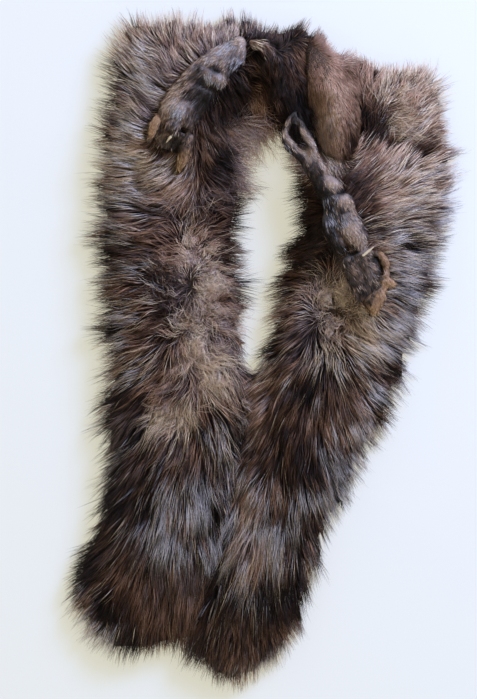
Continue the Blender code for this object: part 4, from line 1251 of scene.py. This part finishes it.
# ----------------------------------------------------------------------
# Right leg. The other foreleg skin hangs from a slit that makes two straps. Its hair is grey
# with pale cushions between creases, and the paw has three worn tan toes and a claw.
# ----------------------------------------------------------------------
# Its tones hold painted light and shade as well as the leg's colours: the creases, the hollow of the
# upper toe and the left side, away from the window, are painted dark, and the cushions and the
# strap's middle are lighter, partly their own pale hair and partly painted light.
RIGHT_LEG_NAP = [
    # x, y, heading, length, stand, tone, silver, cream, lock, curl, warm
    (30, 226, 240, 5, 16, 1, 0, 5, 70),
    (23, 214, 262, 5, 16, 35, 10, 45, 70),
    (19, 204, 275, 5, 16, 60, 10, 45, 70),
    (16, 197, 290, 6, 18, 2, 25, 0, 30),
    (27, 198, 325, 5, 14, 100, 5, 50, 70),
    (36, 191, 325, 5, 14, 100, 5, 50, 70),
    (24, 190, 310, 6, 16, 2, 35, 0, 30),
    (34, 181, 305, 6, 16, 3, 20, 0, 30),
    (42, 212, 300, 5, 16, 6, 0, 5, 30),
    (36, 206, 320, 5, 14, 100, 5, 50, 70),
    (45, 197, 310, 5, 14, 100, 5, 55, 70),
    (50, 204, 300, 5, 16, 4, 10, 10, 30),
    (56, 192, 300, 5, 16, 4, 0, 0, 30),
    (33, 202, 320, 4, 12, 4, 0, 0, 20),
    (40, 193, 320, 4, 12, 4, 0, 0, 20),
    (28, 212, 250, 4, 12, 6, 0, 0, 20),
    (60, 181, 300, 5, 14, 10, 0, 0, 30),
    (52, 188, 300, 5, 14, 100, 10, 50, 70),
    (44, 184, 310, 5, 14, 85, 10, 40, 70),
    (56, 178, 300, 6, 16, 100, 10, 50, 70),
    (48, 173, 300, 6, 14, 12, 15, 5, 70),
    (63, 168, 300, 6, 16, 100, 10, 50, 70),
    (52, 163, 295, 6, 14, 3, 8, 0, 30),
    (66, 156, 300, 6, 16, 100, 10, 50, 70),
    (75, 157, 300, 6, 16, 90, 10, 40, 70),
    (57, 150, 295, 6, 14, 4, 12, 0, 30),
    (75, 149, 310, 5, 10, 4, 0, 0, 20),
    (68, 146, 297, 6, 14, 30, 30, 0, 70),
    (78, 142, 300, 6, 16, 100, 5, 50, 70),
    (85, 136, 300, 6, 16, 80, 10, 40, 70),
    (62, 136, 297, 7, 14, 5, 15, 0, 70),
    (73, 131, 297, 7, 14, 22, 15, 10, 70),
    (86, 126, 300, 7, 16, 45, 15, 20, 70),
    (64, 122, 297, 7, 14, 6, 30, 0, 70),
    (74, 121, 298, 7, 14, 20, 25, 5, 70),
    (84, 114, 303, 5, 24, 100, 0, 75, 70),
    (90, 105, 300, 5, 24, 100, 0, 75, 70),
    (95, 114, 300, 7, 16, 70, 5, 30, 70),
    (62, 108, 298, 7, 14, 5, 25, 0, 30),
    (70, 104, 298, 7, 14, 30, 60, 0, 70),
    (77, 98, 298, 7, 14, 35, 50, 0, 70),
    (70, 93, 298, 7, 14, 6, 20, 0, 70),
    (86, 93, 300, 6, 14, 4, 10, 5, 30),
    (96, 97, 300, 7, 18, 100, 5, 40, 70),
    (82, 86, 300, 6, 14, 30, 15, 5, 70),
    (94, 85, 300, 6, 14, 40, 10, 15, 70),
    (88, 77, 300, 6, 14, 50, 12, 20, 70, 0, 20),
    (98, 73, 300, 6, 14, 45, 15, 15, 70),
    (80, 66, 295, 6, 14, 22, 5, 20, 70),
    (86, 58, 290, 6, 14, 32, 2, 30, 70),
    (97, 60, 300, 6, 14, 34, 8, 20, 70),
    (107, 66, 310, 6, 14, 30, 20, 20, 70),
    (96, 48, 290, 5, 12, 20, 2, 10, 70),
    (106, 86, 330, 4, 12, 0, 0, 0, 10),
    (110, 80, 320, 3, 12, 15, 0, 0, 70),
    (108, 93, 330, 3, 12, 60, 0, 20, 70),
    (100, 91, 330, 4, 12, 36, 0, 50, 50, 0, 50),
    (99, 82, 320, 4, 12, 36, 0, 30, 50, 0, 40),
    (104, 77, 320, 4, 12, 50, 10, 30, 50, 0, 30),
    (111, 71, 320, 3, 12, 10, 5, 0, 70),
    (113, 91, 330, 4, 12, 80, 0, 30, 70),
    (118, 83, 300, 4, 12, 95, 0, 15, 70),
    (116, 75, 290, 4, 12, 100, 10, 0, 70),
    (113, 66, 320, 4, 12, 70, 0, 30, 70),
    (123, 62, 325, 4, 10, 100, 0, 70, 70),
    (106, 56, 290, 5, 12, 34, 5, 20, 70),
    (100, 46, 290, 5, 12, 22, 0, 5, 70),
    (112, 50, 285, 4, 12, 90, 0, 20, 70),
    (104, 38, 285, 4, 10, 62, 0, 90, 70),
    (99, 38, 285, 4, 10, 34, 0, 50, 70),
    (108, 44, 285, 4, 10, 70, 0, 50, 70),
]
RIGHT_TOE_SWELLS = [
    # x, y, heading, length, width, rise
    (100, 46, 290, 12, 5, 6.0),
    (115, 50, 285, 9, 4, 1.5),
    (108, 86, 0, 3.5, 4.5, -4.0),
    (112, 77, 0, 8, 1.6, -2.0),
    (110, 67, 0, 8, 1.6, -2.0),
    (115, 71, 0, 4, 3, 1.5),
]
RIGHT_LEG_SWELLS = [
    # x, y, heading, length, width, rise
    (67, 156, 20, 8, 6, 3.0),
    (74, 149, 15, 9, 1.8, -3.0),
    (79, 141, 30, 8, 6, 3.0),
    (80, 131, 20, 9, 2.5, -2.0),
    (87, 108, 300, 13, 8, 4.5),
    (75, 105, 300, 16, 2.5, -3.5),
    (88, 93, 20, 12, 2.2, -4.5),
    (55, 178, 300, 10, 5, 2.5),
    (61, 166, 20, 8, 2, -2.5),
    (27, 196, 315, 9, 4, 2.5),
    (38, 202, 312, 12, 5, 2.5),
    (92, 78, 300, 12, 3, -1.5),
    (75, 78, 298, 20, 6, 6.0),
    (63, 115, 298, 28, 5, 5.0),
    (88, 56, 298, 10, 6, 5.0),
    (94, 49, 298, 9, 6, 6.0),
]
limb("right_leg", ["right_leg", "right_leg_strap_outer", "right_leg_strap_inner", "right_paw"],
     RIGHT_LEG_NAP, LEG_SKIN, LEG_HAIR, "leg_hair", seed=101,
     swells=RIGHT_LEG_SWELLS, web=0.002)
limb("right_toes", ["right_toe_upper", "right_toe_middle", "right_toe_lower"], RIGHT_LEG_NAP,
     TOE_SKIN, BARE_TOE, "bare_toe", seed=103,
     swells=RIGHT_TOE_SWELLS, grid=0.0014, smoothing=4, inset=0.0004, web=0.0035, spacing=0.00105,
     fuzz=0.8)
claw("right_claw")

# All the hair is grown, so the copies that pressed it down go.
for helper in (LID, LEFT_LID):
    bpy.data.objects.remove(helper)

# ----------------------------------------------------------------------
# The table, the light and the view from above. The table is pale and glows a little with a warm
# painted light, which lifts and warms the shadows on it and gives it the flat white of a lit sheet.
# One window lights the stole from beyond its shoulder.
# ----------------------------------------------------------------------
VIEW_HEIGHT = 8.0
VIEW_SPAN = 0.664             # what the view takes in from top to bottom
VIEW_X = -0.0228              # its middle
SENSOR = 36.0                 # millimetres, as the lens is
TABLE_REACH = 25.0            # from its middle to its edges, so that it fills a view from the side
CAMERA_REACH = 60.0
# The table's bluish base keeps its lit part white under the warm painted glow, so only its shadows
# turn warm.
TABLE_COLOR = (0.300, 0.395, 0.558, 1.0)
TABLE_PAINTED_GLOW = (1.0, 0.904, 0.654, 1.0)
STUDIO_COLOR = (1.0, 0.93, 0.74, 1.0)
WINDOW_COLOR = (0.52, 0.62, 0.95)

floor = bpy.data.objects.new("floor", bpy.data.meshes.new("floor"))
plane = bmesh.new()
bmesh.ops.create_grid(plane, x_segments=1, y_segments=1, size=TABLE_REACH)
plane.to_mesh(floor.data)
plane.free()
bpy.context.scene.collection.objects.link(floor)
table_finish, _, table_shader = new_finish("pale_table")
for key, value in (("Base Color", TABLE_COLOR), ("Emission Color", TABLE_PAINTED_GLOW),
                   ("Emission Strength", 0.52), ("Roughness", 0.7)):
    table_shader.inputs[key].default_value = value
floor.data.materials.append(table_finish)

camera = bpy.data.objects.new("camera", bpy.data.cameras.new("camera"))
camera.location = (VIEW_X, 0.0, VIEW_HEIGHT)
camera.data.lens = SENSOR * VIEW_HEIGHT / VIEW_SPAN
camera.data.clip_end = CAMERA_REACH
bpy.context.scene.collection.objects.link(camera)
bpy.context.scene.camera = camera


def soft_light(name, place, size, power, color):
    """A square soft light that points at the middle of the stole."""
    light = bpy.data.lights.new(name, "AREA")
    light.size = size
    light.energy = power
    light.color = color
    made = bpy.data.objects.new(name, light)
    made.location = place
    made.rotation_euler = (-Vector(place)).to_track_quat("-Z", "Y").to_euler()
    bpy.context.scene.collection.objects.link(made)


soft_light("window", (1.5, 1.55, 1.45), size=0.9, power=92.0, color=WINDOW_COLOR)
world = bpy.data.worlds.new("studio")
world.use_nodes = True
studio_light = world.node_tree.nodes["Background"]
studio_light.inputs["Color"].default_value = STUDIO_COLOR
studio_light.inputs["Strength"].default_value = 0.62
bpy.context.scene.world = world
bpy.context.scene.view_settings.view_transform = "Standard"
